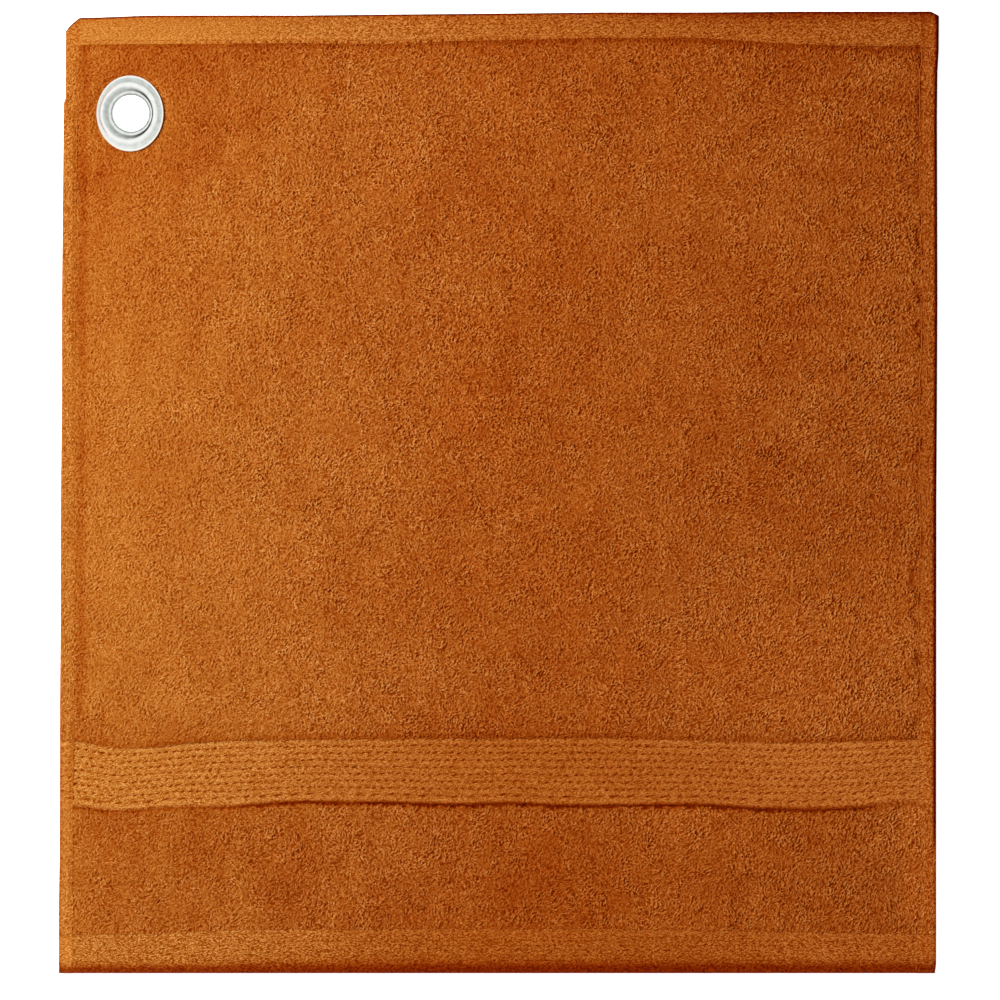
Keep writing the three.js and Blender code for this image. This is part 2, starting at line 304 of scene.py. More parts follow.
def grit(x, y):
    """How much single loops and fibres stand out: least on the left, apart from its low end."""
    low = 0.30 * ramp(-y, 138, 150) * (1 - ramp(x, -120, 0)) * ramp(x, -196, -190)
    return 0.94 + 0.10 * ramp(x, -195, -60) + 0.20 * ramp(x, 40, 160) + low


def weave_light(x, y):
    """The flat weave is a little lighter towards the lower right."""
    return 1.0 + 0.10 * ramp(x, 70, 170) * ramp(-y, 60, 110)


def terry_light(x, y):
    """The terry is lighter towards the lower right."""
    return 1.0 + 0.13 * ramp(x, 10, 150) * ramp(-y, 10, 85)


def pile_wear_and_shade(x, y):
    """Brightness of the terry: worn patches, combed streaks, and darker strips along its edges,
    painted shade under the top hem, above the band and beside the left seam.
    """
    warp_x = x + 9.0 * noise(x, y, 13.0, 24) + 2.5 * noise(x, y, 4.0, 25)
    warp_y = y + 6.0 * noise(x, y, 12.0, 26) + 2.0 * noise(x, y, 4.0, 27)
    # below the band
    low = (0.03 + 0.07 * ramp(-x, 20, 130) * ramp(x, -196, -182) + 0.07 * ramp(x, 60, 150)
           - 0.20 * ramp(x, 182, 192))
    light = terry_light(x, y) * (1 - low * ramp(-y, 140, 152))
    # painted shade under the top hem, above the band and beside the left seam
    under_hem = bell(np.maximum(hem_top_line(x) - y, 0), 0, 5.0)
    light = light * (1 - (0.07 + 0.07 * ramp(x, 60, 120)) * under_hem)
    above_band = y - band_top_line(x)
    light = light * (1 - 0.08 * bell(np.maximum(above_band, 0), 0, 9.0) * (above_band > 0))
    light = light * (1 - 0.15 * bell(x - left_edge(y), 9.5, 2.2) * ramp(y, -112, -100))
    light = light * (1 - 0.03 * ramp(-x, 40, 100) * ramp(y, 40, 110) - 0.02 * ramp(-x, 120, 160))
    combed = ramp(x, 70, 150)
    light = light * (
        1 + 0.035 * noise(x, y, 24.0, 103, 34.0) + 0.040 * noise(x, y, 9.0, 104, 15.0)
        + 0.050 * combed * noise(x, y, 22.0, 105, 4.5)
        + 0.030 * (1 - combed) * noise(x, y, 4.0, 106, 20.0))
    for patch_x, patch_y, half_length, half_height, dark in BRUSHED:
        patch = bell(warp_x, patch_x, half_length) * bell(warp_y, patch_y, half_height)
        light = light * (1 - dark * patch)
    return light


def terry_pile(height, stand):
    return np.clip(0.52 + (height - TERRY_MEAN) * stand * 1.05 + 0.10 * stand, 0, 1)


def lit_paling_and_patches(x, y):
    """How much paler and yellower the cloth is painted: painted light, most at the left edge
    towards the key light, with soft uneven patches of random tone.
    """
    patch = (0.07 * noise(x, y, 46.0, 31, 30.0) + 0.05 * noise(x, y, 17.0, 32, 9.0)
             + 0.04 * noise(x, y, 7.0, 33, 20.0))
    low = 0.09 * ramp(-y, 100, 200) * ramp(x, -200, -180) + 0.03 * ramp(-y, 100, 215)
    return 1 - ramp(x, -205.0, 25.0) + patch - low


def cloth_attributes(x, y, pile, tone, shade, pale=0.0, soft=1.0):
    """What the cloth materials read. pale adds to the painted paling, soft scales the grit."""
    # on the left, painted paler as if lit, the tops of the loops are all much the same tone
    even = (1 - ramp(x, -170, -30)) * (1 - 0.8 * ramp(-y, 136, 150))
    pile = pile - 0.50 * np.maximum(pile - 0.60, 0) * even
    return {"pile": pile, "tone": tone, "shade": shade, "lit_paling": lit_paling_and_patches(x, y) + pale,
            "grit": grit(x, y) * soft}


def creep(x, y, inside):
    """1 where neighbouring terry loops lie over a flat zone, inside mm in from its edge."""
    wander = 0.35 + 0.85 * noise(x, y, 1.15, 91) + 0.5 * noise(x, y, 3.7, 92)
    return ramp(wander - inside, -0.15, 0.35)


def lay_loops(x, y, z, pile, cover):
    """Height and pile of a flat zone with terry loops laid over it where cover is 1."""
    height, stand = lookup(TERRY, x, y), pile_stand(x, y)
    return (mix(z, 2.5 + 0.9 * stand * height, cover),
            mix(pile, terry_pile(height, stand) * 0.85, cover))


def rim_distance(x, y):
    """Distance outside the washer's oval rim, negative inside it."""
    radius_x, radius_y = RIM_RADIUS[:2]
    reach = np.hypot((x - RIM_CENTRE[0]) / radius_x, (y - RIM_CENTRE[1]) / radius_y)
    return (reach - 1) * 0.5 * (radius_x + radius_y)


# ---------------------------------------------------------------------------
# Rows and columns. Each zone's rows run between two of the zone lines.
# ---------------------------------------------------------------------------
def rows_between(start, stop, step):
    """Evenly spaced rows with an even number of cells."""
    count = int(round((stop - start) / step))
    return np.linspace(start, stop, count + count % 2 + 1)


def rounded_steps(length, step, radius, fine_count):
    """Distances from a rounded edge, closest together over the first radius mm."""
    fine = radius * (1 - np.cos(np.linspace(0, math.pi / 2, fine_count)))
    rest = np.linspace(radius, length, int(round((length - radius) / step)) + 1)[1:]
    return np.concatenate([fine, rest])


def hem_steps(length, radius):
    """Distances from an end hem's outer fold, with an even number of cells."""
    steps = rounded_steps(length, STEP * 0.75, radius, 8)
    if len(steps) % 2 == 0:
        i = len(steps) // 2
        steps = np.insert(steps, i, 0.5 * (steps[i - 1] + steps[i]))
    return steps


ROWS_BOTTOM_HEM = Y_LOW + hem_steps(BOTTOM_INNER - Y_LOW, 2.6)
ROWS_BOTTOM = rows_between(BOTTOM_INNER, BAND_BOTTOM, STEP)
ROWS_BAND = rows_between(BAND_BOTTOM, BAND_TOP, STEP * 0.75)
ROWS_LOWER = rows_between(BAND_TOP, 0.0, STEP)
ROWS_UPPER = rows_between(0.0, TOP_INNER, STEP)
ROWS_TOP_HEM = (TOP_OUTER - hem_steps(TOP_OUTER - TOP_INNER, 1.1))[::-1]
FIELD_WIDTH = 387.0
COLS = np.linspace(0, 1, 2 * int(round(0.5 * FIELD_WIDTH / STEP)) + 1)
HALF_ROWS = {
    "lower": np.concatenate([ROWS_BOTTOM_HEM, ROWS_BOTTOM[1:], ROWS_BAND[1:], ROWS_LOWER[1:]]),
    "upper": np.concatenate([ROWS_UPPER, ROWS_TOP_HEM[1:]])}

# (nominal row, real line) from bottom to top
ZONE_LINES = [
    (Y_LOW, lambda x: Y_LOW), (BOTTOM_INNER, hem_bottom_line), (BAND_BOTTOM, band_bottom_line),
    (BAND_TOP, band_top_line), (FOLD_LOWER, lambda x: FOLD_LOWER),
    (FOLD_UPPER, lambda x: FOLD_UPPER), (TOP_INNER, hem_top_line), (TOP_OUTER, top_edge)]


def y_of(x, row):
    """Real y of a nominal row at x, so that rows follow the zone lines."""
    x, row = np.broadcast_arrays(np.asarray(x, float), np.asarray(row, float))
    y = np.zeros(x.shape)
    for (start, line), (stop, next_line) in zip(ZONE_LINES, ZONE_LINES[1:]):
        share = (row - start) / (stop - start)
        y = np.where(row >= start, mix(line(x), next_line(x), share), y)
    return y


def seam_left(row):
    return left_edge(row) + 6.5 + 0.55 * noise(0, row, 24.0, 41) + 0.25 * noise(0, row, 6.0, 42)


def seam_right(row):
    return right_edge(row) - 7.9 + 0.9 * noise(50, row, 22.0, 43) + 0.45 * noise(0, row, 6.0, 44)


SEAMS = {"left": seam_left, "right": seam_right}


def field_grid(rows):
    """x, y and nominal row of the cloth between the two side seams."""
    left, right = seam_left(rows)[:, None], seam_right(rows)[:, None]
    x = left + (right - left) * COLS[None, :]
    row = np.broadcast_to(rows[:, None], x.shape)
    return x, y_of(x, row), row


def flat_zones(y, hem_low, band_low, band_high, hem_high):
    """1 inside the band, and 1 inside any flat weave (band and end hems)."""
    band = past(y - band_low) * (1 - past(y - band_high))
    return band, np.clip(band + 1 - past(y - hem_low) + past(y - hem_high), 0, 1)


def flat_at(x, y):
    return flat_zones(y, hem_bottom_line(x), band_bottom_line(x), band_top_line(x),
                      hem_top_line(x))


# ---------------------------------------------------------------------------
# Mesh building
# ---------------------------------------------------------------------------
def make_mesh(name, verts_mm, polys, attributes, uvs, crease=None):
    """polys and uvs: matching lists, a (n, k) index array and its (n, k, 2) map places.
    crease: marks the vertices whose shared edges are sharp."""
    mesh = bpy.data.meshes.new(name)
    places = (np.asarray(verts_mm) * MM).astype(np.float32)
    mesh.vertices.add(len(places))
    mesh.vertices.foreach_set("co", places.ravel())
    loops = np.concatenate([poly.ravel() for poly in polys]).astype(np.int32)
    sizes = np.concatenate([np.full(len(poly), poly.shape[1]) for poly in polys])
    starts = np.concatenate([[0], np.cumsum(sizes)[:-1]]).astype(np.int32)
    mesh.loops.add(len(loops))
    mesh.loops.foreach_set("vertex_index", loops)
    mesh.polygons.add(len(sizes))
    mesh.polygons.foreach_set("loop_start", starts)
    mesh.polygons.foreach_set("use_smooth", np.ones(len(sizes), bool))
    mesh.update(calc_edges=True)
    mesh.validate()
    for key, values in attributes.items():
        values = np.asarray(values, np.float32)
        kind, field = ("FLOAT_VECTOR", "vector") if values.ndim == 2 else ("FLOAT", "value")
        mesh.attributes.new(key, kind, "POINT").data.foreach_set(field, values.ravel())
    layer = mesh.uv_layers.new(name="OFBake")
    flat_uv = np.concatenate([part.reshape(-1, 2) for part in uvs]).astype(np.float32)
    layer.data.foreach_set("uv", flat_uv.ravel())
    if crease is not None:
        ends = np.zeros(len(mesh.edges) * 2, np.int32)
        mesh.edges.foreach_get("vertices", ends)
        ends = ends.reshape(-1, 2)
        sharp = mesh.attributes.new("sharp_edge", "BOOLEAN", "EDGE")
        sharp.data.foreach_set("value", crease[ends[:, 0]] & crease[ends[:, 1]])
    ob = bpy.data.objects.new(name, mesh)
    bpy.context.scene.collection.objects.link(ob)
    return ob


BORDERS = {"lo": np.s_[0], "hi": np.s_[-1], "left": np.s_[:, 0], "right": np.s_[:, -1]}


def panel(name, x, y, front_z, back_z, front, back, sharp, keep=None, ratio=2, pinch=()):
    """A cloth panel. The front has every row and column, the back every ratio-th.
    front, back: attributes of the two faces. keep: kept back cells.
    sharp: sides whose wall meets the faces at a crease, so that two panels join without a line.
    pinch: sides where front and back meet in one edge, so that side has no wall."""
    thin = np.s_[::ratio, ::ratio]
    front_ids = np.arange(x.size).reshape(x.shape)
    back_x, back_y = x[thin], y[thin]
    back_ids = np.arange(back_x.size).reshape(back_x.shape) + x.size
    for side in pinch:
        back_ids[BORDERS[side]] = front_ids[thin][BORDERS[side]]
    rows, cols = back_x.shape[0] - 1, back_x.shape[1] - 1
    if keep is None:
        keep = np.ones((rows, cols), bool)
    keep_front = np.repeat(np.repeat(keep, ratio, 0), ratio, 1)
    polys = [
        np.stack([front_ids[:-1, :-1], front_ids[:-1, 1:], front_ids[1:, 1:],
                  front_ids[1:, :-1]], -1)[keep_front],
        np.stack([back_ids[:-1, :-1], back_ids[1:, :-1], back_ids[1:, 1:],
                  back_ids[:-1, 1:]], -1)[keep]]
    padded = np.pad(keep, 1)
    for di, dj, side in ((-1, 0, "lo"), (1, 0, "hi"), (0, -1, "left"), (0, 1, "right")):
        if side in pinch:
            continue
        open_side = keep & ~padded[1 + di:rows + 1 + di, 1 + dj:cols + 1 + dj]
        i, j = np.nonzero(open_side)
        i, j = i + (di > 0), j + (dj > 0)
        run_i, run_j = abs(dj), abs(di)  # the wall runs across the way it faces
        wall = [front_ids[i * ratio + k * run_i, j * ratio + k * run_j]
                for k in range(ratio + 1)]
        ends = [back_ids[i + run_i, j + run_j], back_ids[i, j]]
        if side in ("lo", "right"):
            wall, ends = wall[::-1], ends[::-1]
        polys.append(np.stack(wall + ends, -1))
    verts = np.concatenate([np.stack([x, y, front_z], -1).reshape(-1, 3),
                            np.stack([back_x, back_y, back_z[thin]], -1).reshape(-1, 3)])
    attributes = {key: np.concatenate([values.ravel(), back[key][thin].ravel()])
                  for key, values in front.items()}
    attributes["cl"] = verts
    # the front takes the upper two thirds of the map, back and walls the rest
    across = (verts[:, 0] - x.min()) / (x.max() - x.min()) * 0.998 + 0.001
    up = (verts[:, 1] - y.min()) / (y.max() - y.min())
    front_uv = np.stack([across, up * 0.66 + 0.338], -1)
    back_uv = np.stack([across, up * 0.32 + 0.002], -1)
    uvs = [front_uv[polys[0]]] + [back_uv[poly] for poly in polys[1:]]
    crease = np.zeros(len(verts), bool)
    for side in sharp:
        crease[front_ids[BORDERS[side]]] = True
        crease[back_ids[BORDERS[side]]] = True
    used = np.zeros(len(verts), bool)
    for poly in polys:
        used[poly.ravel()] = True
    remap = np.cumsum(used) - 1
    return make_mesh(name, verts[used], [remap[poly] for poly in polys],
                     {key: values[used] for key, values in attributes.items()}, uvs,
                     crease[used])


# ---------------------------------------------------------------------------
# Terry fields
# ---------------------------------------------------------------------------
ALL_SIDES = ("lo", "hi", "left", "right")
SEAM_LEVEL = 1.6  # height of the front that the seams pull towards
BACK_SEAM_LEVEL = 1.0

# How the pile ends at a zone line: height it falls to, reach of the fall, brightness there (painted
# shade in the drop), overhang past the line, darkness of the pits along it (painted shade)
PileEdge = namedtuple("PileEdge", "depth reach dark overhang pits")
SOFT = PileEdge(depth=2.5, reach=0.7, dark=0.96, overhang=0.5, pits=0.30)
PITTED = PileEdge(depth=2.45, reach=0.8, dark=0.94, overhang=0.5, pits=0.32)
CREVICE = PileEdge(depth=1.4, reach=1.0, dark=0.58, overhang=-0.40, pits=0.22)
PLAIN = PileEdge(depth=2.6, reach=0.5, dark=1.0, overhang=0.6, pits=0.04)


def crevice_force(x):
    """The drop under the band is sharpest in the middle and eases towards both side hems."""
    return ((0.40 + 0.60 * ramp(x, -140, -108)) * (1 - 0.85 * ramp(x, 166, 180))
            * (0.88 + 0.12 * noise(x, 0, 9.0, 95)))


def seam_well(x, row):
    """Below 1 in the channel the stitches pull into the cloth, for both side seams."""
    left, right = np.abs(x - seam_left(row)), np.abs(x - seam_right(row))
    pull = 0.5 + 0.5 * noise(0, row, 3.1, 48)
    worn = ramp(noise(9, row, 13.0, 49), -0.5, 0.5)
    deep = np.where(left < right, 0.02 + 0.07 * pull * pull,
                    0.06 + (0.12 + 0.28 * worn) * pull * pull)
    flat = flat_zones(row, BOTTOM_INNER, BAND_BOTTOM, BAND_TOP, TOP_INNER)[1]
    reach = np.where(left < right, 1.15, 1.9) + 0.35 * noise(x, row, 5.0, 47)
    return 1 - deep * (1 - 0.8 * flat) * (1 - ramp(np.minimum(left, right), 0.1, reach))


def pucker_right(x, row):
    """0 to 1: pits the right seam pulls into the cloth here and there, on its field side."""
    line = seam_right(row) - 1.2 + 2.0 * noise(0, row, 6.0, 107)
    return (bell(x, line, 1.15) * ramp(noise(30, row, 8.0, 108), -0.35, 0.45)
            * ramp(row, -112, -104) * (1 - 0.6 * ramp(row, 200, 207)))


def terry_height(x, y, height, stand):
    base = (2.42 + 0.22 * noise(x, y, 55.0, 62, 35.0) + 0.13 * noise(x, y, 19.0, 63)
            + 0.33 * (1 - stand))
    return base + 1.18 * stand * height + 0.05 * noise(x, y, 0.9, 61)


def terry_front(x, y, row, edges):
    """z, pile, tone and shade of the front. edges: (zone line, PileEdge, +1 if terry is above)."""
    height = lookup(TERRY, x, y)
    stand = pile_stand(x, y)
    well = seam_well(x, row)
    seat = ramp(rim_distance(x, y), -0.2, 4.5)  # the washer presses the pile down
    pucker = pucker_right(x, row)
    z = mix(2.0 + 0.35 * height, terry_height(x, y, height, stand), seat)
    z = mix(SEAM_LEVEL, z - 0.32 * pucker, well)
    # painted shade: pile and shade are darker in the seam channel and in the right seam's pits; the
    # pile is also darker where the washer presses it
    pile = terry_pile(height, stand) * (0.85 + 0.15 * seat) * (0.7 + 0.3 * well)
    shade = (0.8 + 0.2 * well) * pile_wear_and_shade(x, y) * (1 - 0.30 * pucker)
    # painted shade where the pile drops at a zone line, deepest in the crevice under the band, and
    # in the pits along the line
    for line, edge, sign in edges:
        depth, reach, dark, overhang, pits = edge
        jag = 0.40
        if edge is CREVICE:
            force = crevice_force(x)
            depth = mix(2.3, depth, force)
            dark = mix(1, dark, force)
            overhang = overhang * force
            jag = 0.85
        away = sign * (y - line(x))
        ragged = away + jag * noise(x, y, 1.2, 64) + 0.30 * noise(x, y, 4.0, 65) + overhang
        full = ramp(ragged, -0.15, reach)
        z = mix(depth, z, full)
        dim = mix(dark, 1, full)
        pile = pile * dim * (1 - pits * (1 - ramp(away, 0.5, 3.4)))
        shade = shade * dim
    return z, pile, lookup(TERRY_TONE, x, y), shade


def terry_back(x, y, row):
    height = lookup(TERRY, -x, y)
    stand = pile_stand(-x, y)
    well = seam_well(x, row)
    seat = ramp(rim_distance(x, y), -1.2, 3.0)
    z = mix(BACK_SEAM_LEVEL, mix(1.15, 1.02 - stand * height, seat), well)
    # painted shade in the seam channel on the back
    pile = terry_pile(height, stand) * (0.7 + 0.3 * well)
    return np.maximum(z, 0.02), pile, lookup(TERRY_TONE, -x, y), 0.85 + 0.15 * well


def cell_centres(grid):
    """Middles of the back's cells, which span two front cells each way."""
    thin = grid[::2, ::2]
    return 0.25 * (thin[:-1, :-1] + thin[1:, 1:] + thin[1:, :-1] + thin[:-1, 1:])


def terry_piece(name, rows, edges, hole_radius=None):
    x, y, row = field_grid(rows)
    front_z, *front = terry_front(x, y, row, edges)
    back_z, *back = terry_back(x, y, row)
    keep = None
    if hole_radius:
        keep = np.hypot(cell_centres(x) - BORE_CENTRE[0],
                        cell_centres(y) - BORE_CENTRE[1]) > hole_radius
    return panel(name, x, y, front_z, np.minimum(back_z, front_z - 0.4),
                 cloth_attributes(x, y, *front), cloth_attributes(-x, y, *back),
                 sharp=ALL_SIDES, keep=keep)


pieces = {}
for name, rows, edges, hole_radius in (
        ("terry_upper", ROWS_UPPER, [(hem_top_line, PITTED, -1)], 12.2),
        ("terry_lower", ROWS_LOWER, [(band_top_line, SOFT, 1)], None),
        ("terry_bottom", ROWS_BOTTOM,
         [(hem_bottom_line, PLAIN, 1), (band_bottom_line, CREVICE, -1)], None)):
    pieces[name] = terry_piece(name, rows, edges, hole_radius)


# ---------------------------------------------------------------------------
# Dobby band
# ---------------------------------------------------------------------------
BAND_HEIGHT = 30.0  # the rows of dimples are set out for this height, then follow both lines
DIMPLE_FIRST, DIMPLE_PITCH = 4.0, 3.22


def dash_offsets(x, k, step, seed, count, ranges):
    """x from the middle of the nearest dash in row k, then that dash's other random values.
    Odd rows are offset by half a step. The first range is the sideways jitter."""
    shift = 210.0 + (k % 2) * 0.5 * step
    cells = np.floor((x + shift) / step).astype(int)
    rng = np.random.default_rng(seed + k)
    jitter, *others = [rng.uniform(low, high, count)[cells] for low, high in ranges]
    return x - (cells + 0.5) * step + shift - jitter, *others


def oval_pit(along, across):
    return np.clip(1 - along * along - across * across, 0, 1) ** 0.8


def dimples(x, y):
    """Depth of the band's dimples: rows of short slanting dashes, the lowest row longer."""
    low = band_bottom_line(x)
    up = (y - low) * (BAND_HEIGHT / (band_top_line(x) - low))
    slant = 0.16 + 0.42 * ramp(x, 40, 180)
    out = np.zeros(x.shape)
    for k in range(8):
        step, half_length, depths = (
            (3.72, 1.30, (0.50, 1.0)) if k > 0 else (7.44, 2.3, (0.7, 1.0)))
        offset, rise, deep, size = dash_offsets(
            x, k, step, 700, 140, [(-0.35, 0.35), (-0.28, 0.28), depths, (0.75, 1.15)])
        along = offset / (half_length * size)
        middle = DIMPLE_FIRST + k * DIMPLE_PITCH + rise
        across = (up - middle - slant * along - 0.10 * np.sin(5.0 * along)) / 0.42
        out = np.maximum(out, deep * oval_pit(along, across))
    return out


def hem_dashes(x, distance, first, rows, seed):
    """Depth of the small dashes woven into an end hem, from first mm inside its outer fold."""
    slant = 0.10 + 0.25 * ramp(x, -60, 120)
    out = np.zeros(x.shape)
    for k in range(rows):
        offset, rise, deep = dash_offsets(
            x, k, 2.75, seed, 200, [(-0.4, 0.4), (-0.25, 0.25), (0.2, 1.0)])
        along = offset / 1.10
        across = (distance - first - 2.3 * k - rise + slant * along) / 0.36
        out = np.maximum(out, deep * oval_pit(along, across))
    return out


def band_front(x, y):
    up = y - band_bottom_line(x)
    down = band_top_line(x) - y
    dimple_row = (up - DIMPLE_FIRST) / DIMPLE_PITCH * (BAND_HEIGHT / (up + down))
    ripple = np.cos(2 * math.pi * (dimple_row - 0.5))
    height = lookup(WEAVE, x, y)
    pit = dimples(x, y)
    lip = 0.30 * bell(up, 1.8, 1.3)
    z = (2.24 + 0.20 * height + 0.07 * ripple * ramp(up, 2.0, 5.0) + lip - 0.58 * pit
         + 0.10 * noise(x, y, 30.0, 71, 12.0))
    # the lower edge rounds down into the crevice
    force = crevice_force(x)
    soft = 1.6 + 0.8 * ramp(x, 60, 140)
    ragged = up + 0.30 * noise(x, y, 1.3, 72) + 0.22 * noise(x, y, 3.3, 73)
    z = mix(2.3 - 1.0 * force, z, dome(ragged, soft))
    # pile: painted shade in the dimples, painted highlight on the lip and on the ridges between
    # dimple rows, lighter along the top edge
    pile = np.clip(
        0.58 + 0.10 * ramp(x, 20, 160) + 0.50 * grit(x, y) * (height - WEAVE_MEAN)
        - 0.42 * pit + 0.24 * lip + 0.10 * bell(down, 1.2, 0.9)
        + 0.04 * ripple * ramp(up, 2.0, 4.0) * ramp(down, 0.5, 2.5), 0, 1)
    # painted shade in the crevice under the band and in the dimples
    crevice = (1 - ramp(up + 0.25 * noise(x, y, 1.3, 74), 0.0, soft + 0.4)) * 0.46 * force
    shade = (1 - 0.27 * pit) * (1 - crevice) * weave_light(x, y)
    wander = 0.9 * noise(x, y, 2.2, 93) + 0.5 * noise(x, y, 5.1, 94)
    cover = np.maximum(creep(x, y, down), ramp(wander - up - 0.5, -0.1, 0.35))
    z, pile = lay_loops(x, y, z, pile, cover)
    return z, pile, lookup(WEAVE_TONE, x, y), shade


def dobby_band():
    x, y, _ = field_grid(ROWS_BAND)
    front_z, *front = band_front(x, y)
    height = lookup(WEAVE, -x, y)
    back_z = 1.30 - 0.2 * height + 0.4 * dimples(-x, y)
    back = cloth_attributes(-x, y, 0.5 + 0.4 * (height - 0.55), lookup(WEAVE_TONE, -x, y),
                            np.full(x.shape, 0.9))
    return panel("band_weave", x, y, front_z, np.minimum(back_z, front_z - 0.15),
                 cloth_attributes(x, y, *front), back, sharp=ALL_SIDES)


pieces["dobby_band"] = dobby_band()


# ---------------------------------------------------------------------------
# End hems
# ---------------------------------------------------------------------------
# Painted shade towards the outer fold: distances in from it, brightness at each
BOTTOM_FOLD = ([0, 0.8, 2.3, 3.6, 5.0, 6.6, 9.0], [0.64, 0.58, 0.50, 0.60, 0.78, 0.91, 1.0])
TOP_FOLD_LEFT = ([0, 0.6, 1.0, 1.6, 3.6, 6.0], [0.20, 0.32, 0.76, 0.93, 0.97, 1.0])
TOP_FOLD_RIGHT = ([0, 0.9, 1.4, 2.4, 4.2, 6.0, 7.5], [0.27, 0.36, 0.62, 0.76, 0.89, 0.97, 1.0])


def outer_shade(outer_side, x, distance):
    """Darkening towards the outer fold of an end hem."""
    if outer_side == "lo":
        return np.interp(distance * (1.30 - 0.30 * ramp(x, -170, -60)), *BOTTOM_FOLD)
    return mix(np.interp(distance, *TOP_FOLD_LEFT), np.interp(distance, *TOP_FOLD_RIGHT),
               ramp(x, 20, 140))


def stitch_holes(x, inside):
    """Depth of the small hole that each stitch draws at the top hem's inner line."""
    first, pitch = -124.5, 5.5
    k = np.round((x - first) / pitch)
    strength = ((0.75 + 0.25 * noise(3.3 * k, 0, 1.0, 96))
                * (0.25 + 0.75 * ramp(-x, -10, 40)) * ramp(x, -150, -128))
    middle = pitch * k + 0.5 * noise(3.3 * k, 0, 1.0, 97)
    return bell(x - first, middle, 0.52) * bell(inside, 0.70, 0.55) * strength


def end_hem(name, rows, inner_line, outer_side, radius):
    """A turned hem: flat weave on both faces, a rounded outer fold and a stitch channel."""
    x, y, _ = field_grid(rows)
    top = outer_side == "hi"
    inside = y - inner_line(x) if top else inner_line(x) - y
    to_fold = np.abs((top_edge(x) if top else Y_LOW) - y)
    height, tone = lookup(WEAVE, x, y), lookup(WEAVE_TONE, x, y)
    if top:
        dash = hem_dashes(x, to_fold, first=2.6, rows=4, seed=760)
        light = 0.06 - 0.10 * ramp(x, 20, 160)
        ridge = bell(inside, 2.2, 1.1)
        coarse = 0.45 + 0.55 * ramp(x, -150, -60) + 0.12 * ramp(x, 60, 160)
        hole = stitch_holes(x, inside)
        # painted shade in each stitch hole, and a slightly darker left part
        extra_shade = (1 - 0.72 * hole) * (1 - 0.035 * (1 - ramp(x, -120, 0)))
        cover = creep(x, y, inside)
        pale = 0.16 * (1 - ramp(x, 20, 150))
        soft = 0.62 + 0.38 * ramp(x, -150, -50)
    else:
        dash = hem_dashes(x, to_fold, first=6.0, rows=5, seed=780)
        light = 0.03 * ramp(x, -40, 160) - 0.03
        ridge = bell(inside, 1.3, 1.1)
        coarse = 1.05
        hole = 0.0
        extra_shade = 0.985
        cover = creep(x, y, inside + 1.0)
        pale = 0.0
        soft = 0.74 + 0.20 * ramp(x, -110, 0)
    dash = dash * (0.35 + 0.65 * ramp(x, -130, 0))
    channel = bell(inside, 1.7, 0.6) * (0.6 + 0.4 * noise(x, 0, 3.2, 84))
    pucker = noise(x, 0, 3.2, 83) * bell(inside, 1.7, 1.8)

    middle = 1.45
    full = np.sqrt(ramp(to_fold + 0.02, 0, radius)) * 0.5 + 0.5 * dome(to_fold, 0.45 * radius)
    front_z = (2.60 + 0.34 * height + 0.12 * noise(x, y, 26.0, 81, 10.0) - 0.18 * channel
               + 0.12 * pucker)
    front_z = mix(middle, front_z, full) - 0.26 * dash - 0.45 * hole
    flap = bell(inside, 0.5, 0.3)
    back_z = 0.38 - 0.30 * lookup(WEAVE, -x, y) + 0.30 * channel + 0.25 * flap
    back_z = mix(middle, np.maximum(0.05, back_z), full)

    # painted shade in the stitch channel and the woven dashes, painted highlight on the ridge along
    # the inner line, painted shade towards the outer fold
    pile = np.clip(0.56 + 0.74 * grit(x, y) * coarse * (height - WEAVE_MEAN) - 0.06 * channel
                   + 0.10 * ridge + light - 0.40 * dash, 0, 1)
    shade = ((1 - 0.03 * channel) * outer_shade(outer_side, x, to_fold) * weave_light(x, y)
             * extra_shade)
    front_z, pile = lay_loops(x, y, front_z, pile, cover)
    return panel(name, x, y, front_z, back_z,
                 cloth_attributes(x, y, pile, tone, shade, pale, soft),
                 cloth_attributes(-x, y, pile, tone, 0.9 * shade),
                 sharp=("lo" if top else "hi", "left", "right"), pinch=(outer_side,))


pieces["hem_top"] = end_hem("hem_top", ROWS_TOP_HEM, hem_top_line, "hi", radius=1.1)
pieces["hem_bottom"] = end_hem("hem_bottom", ROWS_BOTTOM_HEM, hem_bottom_line, "lo", radius=3.8)


